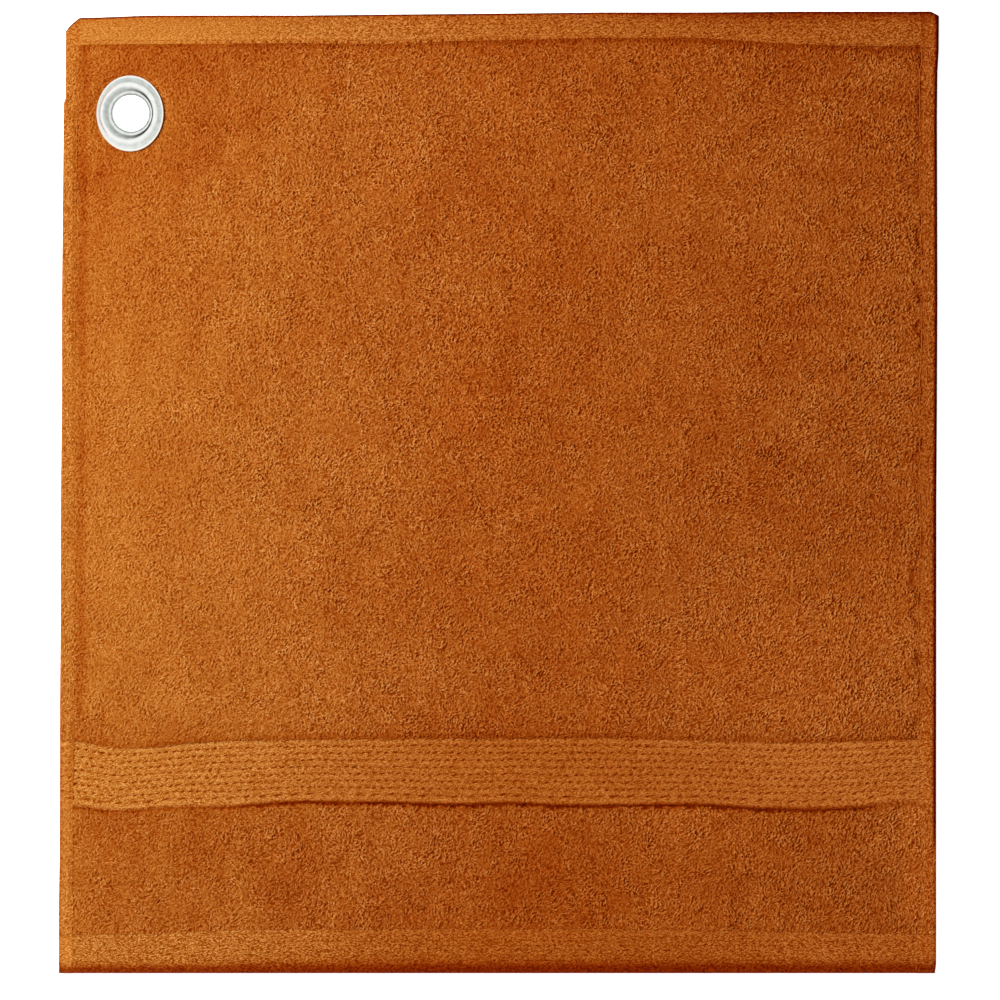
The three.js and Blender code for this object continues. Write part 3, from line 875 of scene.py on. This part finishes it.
# ---------------------------------------------------------------------------
# Side hems
# ---------------------------------------------------------------------------
def side_hem(side, half):
    """One half of a side hem, from its rounded outer fold to the seam."""
    left = side == "left"
    outer_end = "lo" if half == "lower" else "hi"
    radius = 1.3 if left else 1.5
    rows = HALF_ROWS[half]
    seam = SEAMS[side](rows)
    edge = (left_edge if left else right_edge)(rows)
    width = float(np.median(np.abs(seam - edge)))
    shares = rounded_steps(width, STEP, radius, 7) / width
    if len(shares) % 2 == 0:
        shares = np.insert(shares, -1, 0.5 * (shares[-2] + shares[-1]))
    x = edge[:, None] + (seam - edge)[:, None] * shares[None, :]
    if not left:
        x = x[:, ::-1]
    row = np.broadcast_to(rows[:, None], x.shape)
    y = y_of(x, row)
    to_edge = np.abs(x - edge[:, None])
    to_seam = np.abs(x - seam[:, None])
    band, flat = flat_at(x, y)

    # the strip's own loops are narrower and drawn out along the hem, but at the seam
    # it must meet the field, which has the plain loop field
    strip_x, strip_y = to_edge * 1.35 + (-120.0 if left else 70.0), y * 0.86
    field_height = lookup(TERRY, x, y)
    weave = lookup(WEAVE, x, y)
    height = mix(field_height, lookup(TERRY, strip_x, strip_y), ramp(to_seam, 0.0, 1.2))
    height = mix(height, weave, flat)
    tone = mix(lookup(TERRY_TONE, strip_x, strip_y), lookup(WEAVE_TONE, x, y), flat)
    well = seam_well(x, row)
    pucker = pucker_right(x, row)
    pit = dimples(x, y) * band
    stand = pile_stand(x, y)

    wobble = noise(0, y, 2.9, 88) * bell(to_seam, 1.0, 1.2)
    plateau = 2.95 - 0.35 * flat + 0.16 * noise(x, y, 20.0, 86, 30.0) + 0.12 * wobble
    amount = mix(0.58 + 0.22 * noise(x, y, 7.0, 87), 0.28, flat) * (0.8 if left else 1.0)
    strip_z = plateau + amount * height - 0.35 * pit
    field_z = (terry_height(x, y, field_height, stand) * (1 - flat)
               + (2.62 + 0.3 * weave) * (flat - band) + (2.26 + 0.2 * weave - 0.4 * pit) * band)
    front_z = mix(field_z, strip_z, ramp(to_seam, 0.0, 2.2))
    front_z = mix(SEAM_LEVEL, front_z - 0.32 * pucker, well)
    back_z = mix(BACK_SEAM_LEVEL, 0.62 - 0.55 * height * (1 - 0.4 * flat), well)
    to_end = y - Y_LOW if outer_end == "lo" else top_edge(x) - y
    full = dome(to_edge, radius) * dome(to_end, 2.4 if outer_end == "lo" else 1.2)
    middle = 1.75
    front_z = mix(middle, front_z, full)
    back_z = mix(middle, np.maximum(0.03, back_z), full)

    pile = mix(np.clip(0.56 + (0.62 if left else 0.85) * (height - TERRY_MEAN), 0, 1),
               np.clip(0.52 + 0.6 * (height - WEAVE_MEAN), 0, 1), flat)
    beside = (1 - ramp(to_seam, 0.0, 1.8)) * (1 - flat)
    pile = mix(pile, terry_pile(field_height, stand), beside)
    # painted shade in the seam channel and the dimples
    pile = np.clip(pile * (0.7 + 0.3 * well) - 0.38 * pit + 0.06 * band, 0, 1)
    if left:
        # painted shade on the left outer fold, deeper towards the bottom
        edge_light = 0.9 - 0.16 * ramp(-y, 90, 150)
        side_light = 1.0
        pale = 0.10
        soft = 0.70 + 0.52 * ramp(y, -140, -70)
    else:
        # the fold turns away from the light, except near the bottom corner
        edge_light = 1 - 0.88 * (0.08 + 0.92 * ramp(y, -172.0, -152.0))
        side_light = ((1 - 0.16 * bell(to_seam, 0, 2.3) * ramp(y, -112, -100))
                      * (1 - 0.30 * pucker) * (1 + 0.05 * (1 - flat)))
        pale = 0.06 * ramp(-y, 80, 140)
        soft = 1.10
    # painted shade: on the outer fold, in the seam channel, beside the right seam and its pits, in
    # the dimples and towards the ends
    shade = (0.8 + 0.2 * well) * mix(edge_light, 1, ramp(to_edge, 0.45, radius * 1.7))
    shade = shade * terry_light(x, y) * (1 + 0.14 * ramp(-x, 100, 150) * ramp(-y, 138, 165))
    shade = shade * side_light * (1 + 0.10 * flat) * (1 - 0.22 * pit)
    shade = shade * outer_shade(outer_end, x, to_end)
    sharp = ("hi" if outer_end == "lo" else "lo", "right" if left else "left")
    return panel(f"hem_{side}_{half}", x, y, front_z, back_z,
                 cloth_attributes(x, y, pile, tone, shade, pale, soft),
                 cloth_attributes(-x, y, pile, tone, 0.9 * shade),
                 sharp=sharp, ratio=1, pinch=(side, outer_end))


SIDE_HALVES = [(side, half) for side in ("left", "right") for half in ("lower", "upper")]
for side, half in SIDE_HALVES:
    pieces[f"hem_{side}_{half}"] = side_hem(side, half)


# ---------------------------------------------------------------------------
# Stitches
# ---------------------------------------------------------------------------
def unwrapped(values):
    """Map values of polygons that cross the seam of a ring, carried on past 1."""
    crossing = (values.max(1) - values.min(1) > 0.5)[:, None]
    return np.where(crossing & (values < 0.5), values + 1, values)


def stitch_line(name, path_x, path_y, surface, pitch, radius, lift, dive, sign):
    """A sewing thread as one twisted cord: over the cloth for each stitch and down into it
    between stitches. sign: +1 on the front, -1 on the back. surface: cloth height on the path."""
    path = np.concatenate([[0], np.cumsum(np.hypot(np.diff(path_x), np.diff(path_y)))])
    along = np.arange(0, path[-1], pitch / 10.0)
    x = np.interp(along, path, path_x)
    y = np.interp(along, path, path_y)
    level = np.interp(along, path, surface)
    rng = np.random.default_rng(len(name) * 7 + int(abs(path_x[0])))
    stitch = np.floor(along / pitch).astype(int)
    stitches = stitch.max() + 1
    height = lift * rng.uniform(0.75, 1.15, stitches)[stitch]
    arch = np.clip(np.sin(math.pi * (along / pitch - stitch)), 0, 1) ** 0.45
    z = level + sign * (height * arch - dive * (1 - arch))
    sway = rng.uniform(-0.10, 0.10, stitches)[stitch]

    step_x, step_y = np.gradient(x), np.gradient(y)
    tangent = np.stack([step_x, step_y, np.gradient(z)], -1)
    tangent /= np.linalg.norm(tangent, axis=1)[:, None]
    sideways = np.stack([-step_y, step_x, 0 * step_x], -1)
    sideways /= np.linalg.norm(sideways, axis=1)[:, None] + 1e-9
    up = np.cross(tangent, sideways)
    centre = np.stack([x, y, z], -1) + sideways * (sway * arch)[:, None]
    segments = 10
    angle = np.linspace(0, 2 * math.pi, segments, endpoint=False)
    strands = np.cos(2 * (angle[None, :] - (2 * math.pi * along / 1.1)[:, None]))
    ring = centre[:, None, :] + (radius * (1 + 0.20 * strands))[..., None] * (
        np.cos(angle)[None, :, None] * sideways[:, None, :]
        + np.sin(angle)[None, :, None] * up[:, None, :] * 0.85)

    count = len(along)
    ids = np.arange(count * segments).reshape(count, segments)
    following = np.roll(ids, -1, 1)
    tube = np.stack([ids[:-1], following[:-1], following[1:], ids[1:]], -1).reshape(-1, 4)
    # both ends close on a centre point
    verts = np.concatenate([ring.reshape(-1, 3), centre[:1], centre[-1:]])
    first, last = (np.full(segments, count * segments + k) for k in (0, 1))
    polys = [tube, np.stack([first, following[0], ids[0]], -1),
             np.stack([last, ids[-1], following[-1]], -1)]
    attributes = {"cl": verts,
                  "ply": np.concatenate([(0.5 + 0.5 * strands).ravel(), [0.5, 0.5]]),
                  "along": np.concatenate([np.repeat(along, segments), [0, path[-1]]])}
    length_map = np.concatenate([np.repeat(along / path[-1], segments), [0, 1]])
    round_map = np.concatenate([np.tile(angle / (2 * math.pi), count), [0.5, 0.5]])

    def strip(poly):
        # the long thread is laid out as 24 strips of the map
        across, turn = length_map[poly], unwrapped(round_map[poly])
        line = np.floor(across.mean(1) * 24).clip(0, 23)[:, None]
        return np.stack([(across * 24 - line) * 0.96 + 0.02,
                         (line + 0.08 + turn / 1.12 * 0.84) / 24], -1)

    return make_mesh(name, verts, polys, attributes, [strip(poly) for poly in polys])


def side_seam(kind, side, half):
    rows = HALF_ROWS[half]
    if half == "lower":
        row = np.append(np.arange(rows[0] + 1.2, rows[-1] - 0.6, 0.5), rows[-1])
    else:
        row = np.arange(rows[0], rows[-1] - 1.6, 0.5)
    x = SEAMS[side](row)
    y = y_of(x, row)
    name = f"{kind}_thread_{side}_{half}"
    if kind == "bobbin":
        return stitch_line(name, x, y, np.full(len(row), 0.95),
                           pitch=3.05, radius=0.24, lift=0.10, dive=0.45, sign=-1)
    surface = mix(SEAM_LEVEL, 2.75 - 0.42 * flat_at(x, y)[1], seam_well(x, row))
    return stitch_line(name, x, y, surface, pitch=3.05, radius=0.25, lift=0.20, dive=0.5, sign=1)


def end_seam(kind, end, line, inset):
    x = np.arange(-194.0, 194.5, 0.5)
    y = line(x) + inset
    name = f"{kind}_thread_{end}"
    if kind == "bobbin":
        return stitch_line(name, x, y, np.full(len(x), 0.72),
                           pitch=3.0, radius=0.22, lift=0.16, dive=0.35, sign=-1)
    return stitch_line(name, x, y, 2.42 + 0.12 * noise(x, y, 26.0, 81, 10.0),
                       pitch=3.0, radius=0.24, lift=0.26, dive=0.4, sign=1)


THREADS = ("needle", "bobbin")
for side, half in SIDE_HALVES:
    for kind in THREADS:
        pieces[f"{kind}_thread_{side}_{half}"] = side_seam(kind, side, half)
for end, line, inset in (("top", hem_top_line, 1.7), ("bottom", hem_bottom_line, -1.7)):
    for kind in THREADS:
        pieces[f"{kind}_thread_{end}"] = end_seam(kind, end, line, inset)


# ---------------------------------------------------------------------------
# Grommet
# ---------------------------------------------------------------------------
# Closed sections: (radius, z)
EYELET = [
    (8.4, 3.7), (8.4, 1.2), (8.6, 0.72), (9.1, 0.35), (9.9, 0.2), (13.4, 0.2), (14.8, 0.3),
    (15.6, 0.5), (15.6, 0.9), (15.1, 0.92), (14.6, 0.78), (13.4, 0.68), (10.1, 0.68),
    (9.5, 0.78), (9.08, 1.0), (8.95, 1.35), (8.95, 3.3), (9.1, 3.62), (9.5, 3.78),
    (9.85, 3.6), (9.98, 3.3), (10.45, 3.3), (10.4, 3.75), (10.05, 4.12), (9.55, 4.3),
    (8.95, 4.22), (8.55, 3.98)]
WASHER = [
    (17.66, 2.65), (17.66, 3.1), (17.5, 3.3), (17.1, 3.38), (15.3, 3.38), (14.7, 3.52),
    (14.0, 3.98), (13.4, 4.42), (12.8, 4.45), (12.25, 4.22), (11.6, 3.72), (11.1, 3.30),
    (10.6, 3.06), (9.35, 3.02), (9.35, 2.6), (10.8, 2.6), (11.5, 2.82), (12.0, 3.25),
    (12.5, 3.8), (12.9, 4.02), (13.2, 3.98), (13.6, 3.62), (14.1, 3.12), (14.8, 2.92),
    (17.1, 2.92), (17.25, 2.65)]
# By radius: how much narrower than round the ring is in x, and how far it is shifted in x
OVAL_SQUEEZE = ([9.9, 12.0, 13.6, 17.66], [0.0, 0.045, 0.055, 0.118])
OVAL_SHIFT = ([9.9, 12.0, 13.6, 17.2], [0.5, -0.70, -0.70, 0.0])
# Tone by radius, mostly painted light: painted highlights on the lip, bead and rim, painted shade
# in the groove, a satin flange between
RING_TONE_AND_PAINTED_LIGHT = (
    [8.3, 8.8, 9.2, 9.8, 10.2, 10.7, 11.5, 12.1, 12.7, 13.6, 14.2, 14.9, 16.6, 17.0, 17.7],
    [0.46, 0.34, 0.66, 0.96, 0.80, 0.56, 0.64, 0.78, 1.00, 1.00, 0.88, 0.71, 0.78, 1.18, 1.20])


def revolve(name, profile):
    """A ring from a closed section, its corners rounded, oval at the rim, round at the bore."""
    section = np.array(profile, float)
    for _ in range(3):
        following = np.roll(section, -1, 0)
        section = np.stack([0.75 * section + 0.25 * following,
                            0.25 * section + 0.75 * following], 1).reshape(-1, 2)
    segments = 160
    angle = np.linspace(0, 2 * math.pi, segments, endpoint=False)
    radius, z = section[:, :1], section[:, 1:]
    x = radius * np.cos(angle)[None, :]
    y = radius * np.sin(angle)[None, :]
    x = x * (1 - np.interp(radius, *OVAL_SQUEEZE)) + np.interp(radius, *OVAL_SHIFT)
    verts = np.stack([x + RIM_CENTRE[0], y + RIM_CENTRE[1], z + 0 * x], -1).reshape(-1, 3)
    count = len(section)
    ids = np.arange(count * segments).reshape(count, segments)
    down, right = np.roll(ids, -1, 0), np.roll(ids, -1, 1)
    quads = np.stack([ids, down, np.roll(down, -1, 1), right], -1).reshape(-1, 4)
    round_map = unwrapped(np.tile(np.arange(segments) / segments, count)[quads])
    section_map = unwrapped(np.repeat(np.arange(count) / count, segments)[quads])
    uv = np.stack([round_map / 1.02 * 0.99 + 0.004, section_map / 1.03 * 0.98 + 0.005], -1)
    radii, heights = np.repeat(section, segments, 0).T
    ring = np.interp(radii, *RING_TONE_AND_PAINTED_LIGHT)
    ring = np.where((heights < 3.8) & (radii < 9.0), 0.92, ring)
    # painted light: the outer part is brighter towards the lower left
    turn = np.tile(np.cos(angle - math.radians(225)), count)
    ring = ring + 0.10 * turn * ramp(radii, 13.6, 14.8)
    return make_mesh(name, verts, [quads], {"cl": verts, "ring": ring}, [uv])


pieces["eyelet"] = revolve("eyelet_ring", EYELET)
pieces["washer"] = revolve("washer_ring", WASHER)


# ---------------------------------------------------------------------------
# Materials
# ---------------------------------------------------------------------------
class Shader:
    """A node tree being built. An input is a number, a tuple or another node's output."""

    def __init__(self, tree):
        self.tree = tree
        tree.nodes.clear()

    def node(self, kind, inputs, **settings):
        node = self.tree.nodes.new("ShaderNode" + kind)
        for key, value in settings.items():
            setattr(node, key, value)
        for key, value in inputs.items():
            if isinstance(value, bpy.types.NodeSocket):
                self.tree.links.new(value, node.inputs[key])
            else:
                node.inputs[key].default_value = value
        return node

    def math(self, operation, first, second, clamp=False):
        return self.node("Math", {0: first, 1: second},
                         operation=operation, use_clamp=clamp).outputs[0]

    def add(self, first, second, clamp=False):
        return self.math("ADD", first, second, clamp)

    def mul(self, first, second, clamp=False):
        return self.math("MULTIPLY", first, second, clamp)

    def swing(self, value, amount):
        """A 0 to 1 value centred on 0 and scaled."""
        return self.mul(self.math("SUBTRACT", value, 0.5), amount)

    def attribute(self, name, output="Fac"):
        return self.node("Attribute", {}, attribute_name=name).outputs[output]

    def noise(self, vector, scale, detail=2.0, rough=0.5):
        """Noise with its own scale along each axis."""
        places = self.node("Mapping", {"Vector": vector, "Scale": scale}).outputs[0]
        return self.node("TexNoise", {"Scale": 1.0, "Detail": detail, "Roughness": rough,
                                      "Vector": places}).outputs["Fac"]

    def color_ramp(self, value, stops):
        node = self.node("ValToRGB", {0: value})
        elements = node.color_ramp.elements
        while len(elements) < len(stops):
            elements.new(0.5)
        for element, (position, color) in zip(elements, stops):
            element.position = position
            element.color = (*color, 1)
        return node.outputs["Color"]

    def mix_color(self, share, first, second, clamp=True):
        # a Mix node keeps its colour inputs at 6 and 7 and its colour output at 2
        node = self.node("Mix", {}, data_type="RGBA", clamp_factor=clamp)
        self.tree.links.new(share, node.inputs["Factor"])
        for key, value in ((6, first), (7, second)):
            if isinstance(value, tuple):
                node.inputs[key].default_value = value
            else:
                self.tree.links.new(value, node.inputs[key])
        return node.outputs[2]

    def bump(self, height, strength, distance):
        return self.node("Bump", {"Strength": strength, "Distance": distance,
                                  "Height": height}).outputs[0]

    def multiply_vectors(self, first, second):
        return self.node("VectorMath", {0: first, 1: second}, operation="MULTIPLY").outputs[0]


def make_material(name, build):
    """build: returns the Principled inputs, given the material's Shader."""
    material = bpy.data.materials.new(name)
    material.use_nodes = True
    shader = Shader(material.node_tree)
    bsdf = shader.node("BsdfPrincipled", build(shader))
    shader.node("OutputMaterial", {"Surface": bsdf.outputs[0]})
    return material


def facing(sh, normal):
    """How much of the studio light a facet gets. The two faces of the cloth count alike."""
    cut = sh.node("SeparateXYZ", {0: normal}).outputs
    vector = sh.node("CombineXYZ", {
        "X": cut["X"], "Y": cut["Y"],
        "Z": sh.node("Math", {0: cut["Z"]}, operation="ABSOLUTE").outputs[0]}).outputs[0]

    def toward(direction):
        return sh.node("VectorMath", {0: vector, 1: direction},
                       operation="DOT_PRODUCT").outputs["Value"]

    # direction and strength of the key and fill lights, then the even light from above
    key = sh.mul(sh.math("MAXIMUM", toward((-0.675, 0.298, 0.675)), 0.0), 0.954)
    fill = sh.mul(sh.math("MAXIMUM", toward((0.174, -0.636, 0.752)), 0.0), 0.167)
    sky = sh.add(sh.mul(toward((0.0, 0.0, 1.0)), 0.115), 0.115)
    return sh.math("MAXIMUM", sh.add(sh.add(key, fill), sky), 0.60)


# Colour multipliers for the plain cloth and for its paler, yellower side, painted as lit by the key
# light
PLAIN_HUE = (0.973, 0.938, 0.86, 1)
LIT_PALE_HUE = (1.210, 1.715, 2.27, 1)
PATCHINESS = 0.05
# Painted shade and light in the base colour: green and blue fall faster than red where the painted
# shade and the facing give poor light.
# Columns: axis, power of the shade below 1, power above 1, power of the facing
DEEPENING = (("Y", 2.5, 1.4, 0.90), ("Z", 4.2, 2.0, 2.2))


def cotton(name, stops, bump, rough, sheen, fuzz, grain):
    """stops: colours from deep to high pile. fuzz, grain: strength and scale of the fibres."""
    def build(sh):
        places = sh.attribute("cl", "Vector")
        fine = sh.noise(places, (5.2, 5.2, 2.0), rough=0.6)
        normal = sh.bump(fine, strength=bump, distance=0.00022)
        # painted light: how squarely each facet faces the lamps tints the base colour
        lit = facing(sh, normal)
        shade = sh.attribute("shade")
        fibre = sh.noise(places, (*grain, 1.0), rough=0.6)
        streak = sh.noise(places, (0.030, 0.085, 0.0), detail=3.0, rough=0.55)
        blot = sh.noise(places, (0.11, 0.13, 0.0))
        loose = sh.add(sh.swing(sh.attribute("tone"), 0.24), sh.swing(fibre, fuzz))
        loose = sh.mul(loose, sh.attribute("grit"))
        color = sh.color_ramp(sh.add(sh.attribute("pile"), loose, clamp=True), stops)
        patches = sh.add(sh.swing(streak, PATCHINESS * 1.6), sh.swing(blot, PATCHINESS))
        color = sh.node("VectorMath", {0: color, "Scale": sh.add(patches, 1.0)},
                        operation="SCALE").outputs[0]
        # painted shade: the base colour is darker and redder where the shade attribute and the
        # facing say less light falls
        dim, over = sh.math("MINIMUM", shade, 1.0), sh.math("MAXIMUM", shade, 1.0)
        depth = {"X": shade}
        for axis, below, above, by_light in DEEPENING:
            held = sh.mul(sh.math("POWER", dim, below), sh.math("POWER", over, above))
            depth[axis] = sh.mul(held, sh.math("POWER", lit, by_light))
        color = sh.multiply_vectors(color, sh.node("CombineXYZ", depth).outputs[0])
        # painted light: the cloth turns paler and yellower towards its lit left side, with random
        # patches
        lit_hue = sh.mix_color(sh.attribute("lit_paling"), PLAIN_HUE, LIT_PALE_HUE, clamp=False)
        return {
            "Base Color": sh.multiply_vectors(color, lit_hue),
            "Roughness": sh.add(sh.mul(fibre, 0.12), rough),
            "Specular IOR Level": 0.0,
            "Specular Tint": (1.0, 0.55, 0.25, 1),
            "Sheen Weight": sheen,
            "Sheen Roughness": 0.45,
            "Sheen Tint": (1.0, 0.24, 0.02, 1),
            "Normal": normal}

    return make_material(name, build)


def seam_thread(sh):
    places = sh.attribute("cl", "Vector")
    along = sh.noise(places, (0.5, 0.5, 0.5))
    fibre = sh.noise(places, (9.0, 9.0, 9.0))
    twist = sh.add(sh.mul(sh.attribute("ply"), 0.6), sh.mul(along, 0.4), clamp=True)
    return {
        "Base Color": sh.color_ramp(twist, [
            (0.0, (0.215, 0.042, 0.0035)), (0.5, (0.295, 0.072, 0.0075)),
            (1.0, (0.38, 0.110, 0.016))]),
        "Roughness": sh.add(sh.mul(fibre, 0.2), 0.65),
        "Specular IOR Level": 0.03,
        "Specular Tint": (1.0, 0.6, 0.3, 1),
        "Normal": sh.bump(fibre, strength=0.4, distance=0.0001)}


def nickel_plate(sh):
    places = sh.attribute("cl", "Vector")
    broad = sh.noise(places, (0.42, 0.42, 0.42), detail=3.0)
    fine = sh.noise(places, (4.0, 4.0, 4.0), detail=3.0, rough=0.6)
    ring = sh.attribute("ring")
    tone = sh.add(sh.add(ring, sh.swing(broad, 0.42)), sh.swing(fine, 0.10))
    color = sh.color_ramp(tone, [
        (0.0, (0.03, 0.03, 0.03)), (0.35, (0.310, 0.315, 0.300)),
        (0.66, (0.60, 0.622, 0.590)), (1.0, (0.990, 0.985, 0.955))])
    # painted reflection: the rim is tinted warm as if it mirrored the cloth beside it
    rim = sh.mul(sh.math("SUBTRACT", ring, 1.02), 5.0, clamp=True)
    relief = sh.add(fine, sh.mul(broad, 0.5))
    return {
        "Base Color": sh.mix_color(rim, color, (1.0, 0.93, 0.82, 1)),
        "Metallic": 1.0,
        "Roughness": sh.add(sh.mul(fine, 0.12), 0.26),
        "Normal": sh.bump(relief, strength=0.10, distance=0.00008)}


# Colours by pile height: (position, linear colour). Low loops get darker, redder colours, painted
# shade between the loops on top of each loop's own tone.
TERRY_STOPS = [
    (0.0, (0.130, 0.0125, 0.0002)), (0.28, (0.188, 0.0300, 0.0014)),
    (0.56, (0.247, 0.0553, 0.0054)), (0.80, (0.306, 0.0850, 0.0128)),
    (1.0, (0.392, 0.1395, 0.0320))]
FLAT_STOPS = [
    (0.0, (0.145, 0.0165, 0.0004)), (0.28, (0.208, 0.0385, 0.0022)),
    (0.56, (0.272, 0.0685, 0.0074)), (0.80, (0.332, 0.1000, 0.0156)),
    (1.0, (0.400, 0.1410, 0.0310))]
MATERIALS = {
    "terry_cotton": cotton("terry_cotton", TERRY_STOPS, bump=0.60, rough=0.80, sheen=0.05,
                           fuzz=1.55, grain=(2.2, 2.0)),
    "flat_weave_cotton": cotton("flat_weave_cotton", FLAT_STOPS, bump=0.80, rough=0.74,
                                sheen=0.04, fuzz=2.70, grain=(1.7, 2.4)),
    "seam_thread": make_material("seam_thread", seam_thread),
    "nickel_plate": make_material("nickel_plate", nickel_plate)}


# ---------------------------------------------------------------------------
# What each piece rides on and stands for
# ---------------------------------------------------------------------------
# The two thirds a piece at a fold joins, the y of their fold and half the length of the bend; these
# pieces only get their placement baked in, nothing here bends them
BENDS = {"bend_lower": ("lower_third", "middle_third", FOLD_LOWER, 5.0),
         "bend_upper": ("middle_third", "upper_third", FOLD_UPPER, 7.0)}


def dress(piece, slot, nodes, where):
    ob = pieces[piece]
    ob.data.materials.append(MATERIALS[slot])
    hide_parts(*nodes)
    if where in BENDS:
        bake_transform(ob)
    else:
        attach(ob, where)


for half in ("upper", "lower"):
    dress(f"terry_{half}", "terry_cotton", [f"terry_field_{half}", "terry_field_middle"],
          f"bend_{half}")
dress("terry_bottom", "terry_cotton", ["terry_field_bottom"], "lower_third")
dress("dobby_band", "flat_weave_cotton", ["dobby_band"], "lower_third")
dress("hem_top", "flat_weave_cotton", ["top_hem"], "upper_third")
dress("hem_bottom", "flat_weave_cotton", ["bottom_hem"], "lower_third")
for side in ("left", "right"):
    for half in ("lower", "upper"):
        dress(f"hem_{side}_{half}", "terry_cotton",
              [f"{side}_hem_{half}", f"{side}_hem_middle"], f"bend_{half}")
    for kind in THREADS:
        for half in ("lower", "upper"):
            dress(f"{kind}_thread_{side}_{half}", "seam_thread",
                  [f"{side}_{kind}_thread_{half}", f"{side}_{kind}_thread_middle"],
                  f"bend_{half}")
for kind in THREADS:
    for end, third in (("top", "upper_third"), ("bottom", "lower_third")):
        dress(f"{kind}_thread_{end}", "seam_thread", [f"{end}_{kind}_thread"], third)
for ring in ("eyelet", "washer"):
    dress(ring, "nickel_plate", [f"grommet_{ring}"], "upper_third")


# ---------------------------------------------------------------------------
# Stage, lights, world and camera, in metres
# ---------------------------------------------------------------------------
def studio_floor(sh):
    return {"Base Color": (0.86, 0.86, 0.86, 1), "Roughness": 0.9, "Specular IOR Level": 0.0,
            "Emission Color": (1, 1, 1, 1), "Emission Strength": 0.58}


def build_floor(half_size=6, z=-0.0003):
    corners = [(x * half_size, y * half_size, z) for x, y in ((-1, -1), (1, -1), (1, 1), (-1, 1))]
    mesh = bpy.data.meshes.new("floor")
    mesh.from_pydata(corners, [], [(0, 1, 2, 3)])
    floor = bpy.data.objects.new("floor", mesh)
    floor.data.materials.append(make_material("studio_floor", studio_floor))
    bpy.context.scene.collection.objects.link(floor)


def area_light(name, place, size, power, color=(1, 1, 1)):
    """A round light aimed at the origin."""
    light = bpy.data.lights.new(name, "AREA")
    light.shape = "DISK"
    light.size = size
    light.energy = power
    light.color = color
    ob = bpy.data.objects.new(name, light)
    ob.location = place
    ob.rotation_mode = "QUATERNION"
    ob.rotation_quaternion = (-Vector(place)).to_track_quat("-Z", "Y")
    ob.visible_camera = False
    ob.visible_glossy = False
    bpy.context.scene.collection.objects.link(ob)


def build_world():
    """White to the camera, a graded sky to mirror rays and soft ambient light to the rest."""
    world = bpy.data.worlds.new("studio")
    world.use_nodes = True
    bpy.context.scene.world = world
    sh = Shader(world.node_tree)

    def background(color, strength):
        return sh.node("Background", {"Color": color, "Strength": strength}).outputs[0]

    rays = sh.node("LightPath", {}).outputs
    incoming = sh.node("NewGeometry", {}).outputs["Incoming"]
    up = sh.mul(sh.node("SeparateXYZ", {0: incoming}).outputs["Z"], -1.0)
    sky = sh.color_ramp(up, [
        (0.0, (0.94, 0.94, 0.92)), (0.35, (1.0, 1.0, 0.99)), (0.62, (0.76, 0.77, 0.77)),
        (0.85, (0.90, 0.92, 0.92)), (1.0, (0.96, 0.985, 0.98))])
    white = (1, 1, 1, 1)
    unseen = sh.node("MixShader", {0: rays["Is Glossy Ray"], 1: background(white, 0.42),
                                   2: background(sky, 1.08)}).outputs[0]
    surface = sh.node("MixShader", {0: rays["Is Camera Ray"], 1: unseen,
                                    2: background(white, 1.0)}).outputs[0]
    sh.node("OutputWorld", {"Surface": surface})


def build_camera():
    """Looks straight down from above the middle of the towel."""
    data = bpy.data.cameras.new("camera")
    data.lens = 100.0
    data.sensor_width = 36.0
    data.clip_start = 0.01
    data.clip_end = 50
    camera = bpy.data.objects.new("camera", data)
    camera.location = (0.00052, -0.00360, 1.2913)
    bpy.context.scene.collection.objects.link(camera)
    bpy.context.scene.camera = camera


build_floor()
area_light("key", place=(-0.95, 0.42, 0.95), size=0.55, power=34.0, color=(1.0, 0.985, 0.96))
area_light("fill", place=(0.3, -1.1, 1.3), size=1.2, power=9.0)
build_world()
view = bpy.context.scene.view_settings
view.view_transform = "Standard"
view.look = "None"
view.exposure = 0.0
view.gamma = 1.0
build_camera()
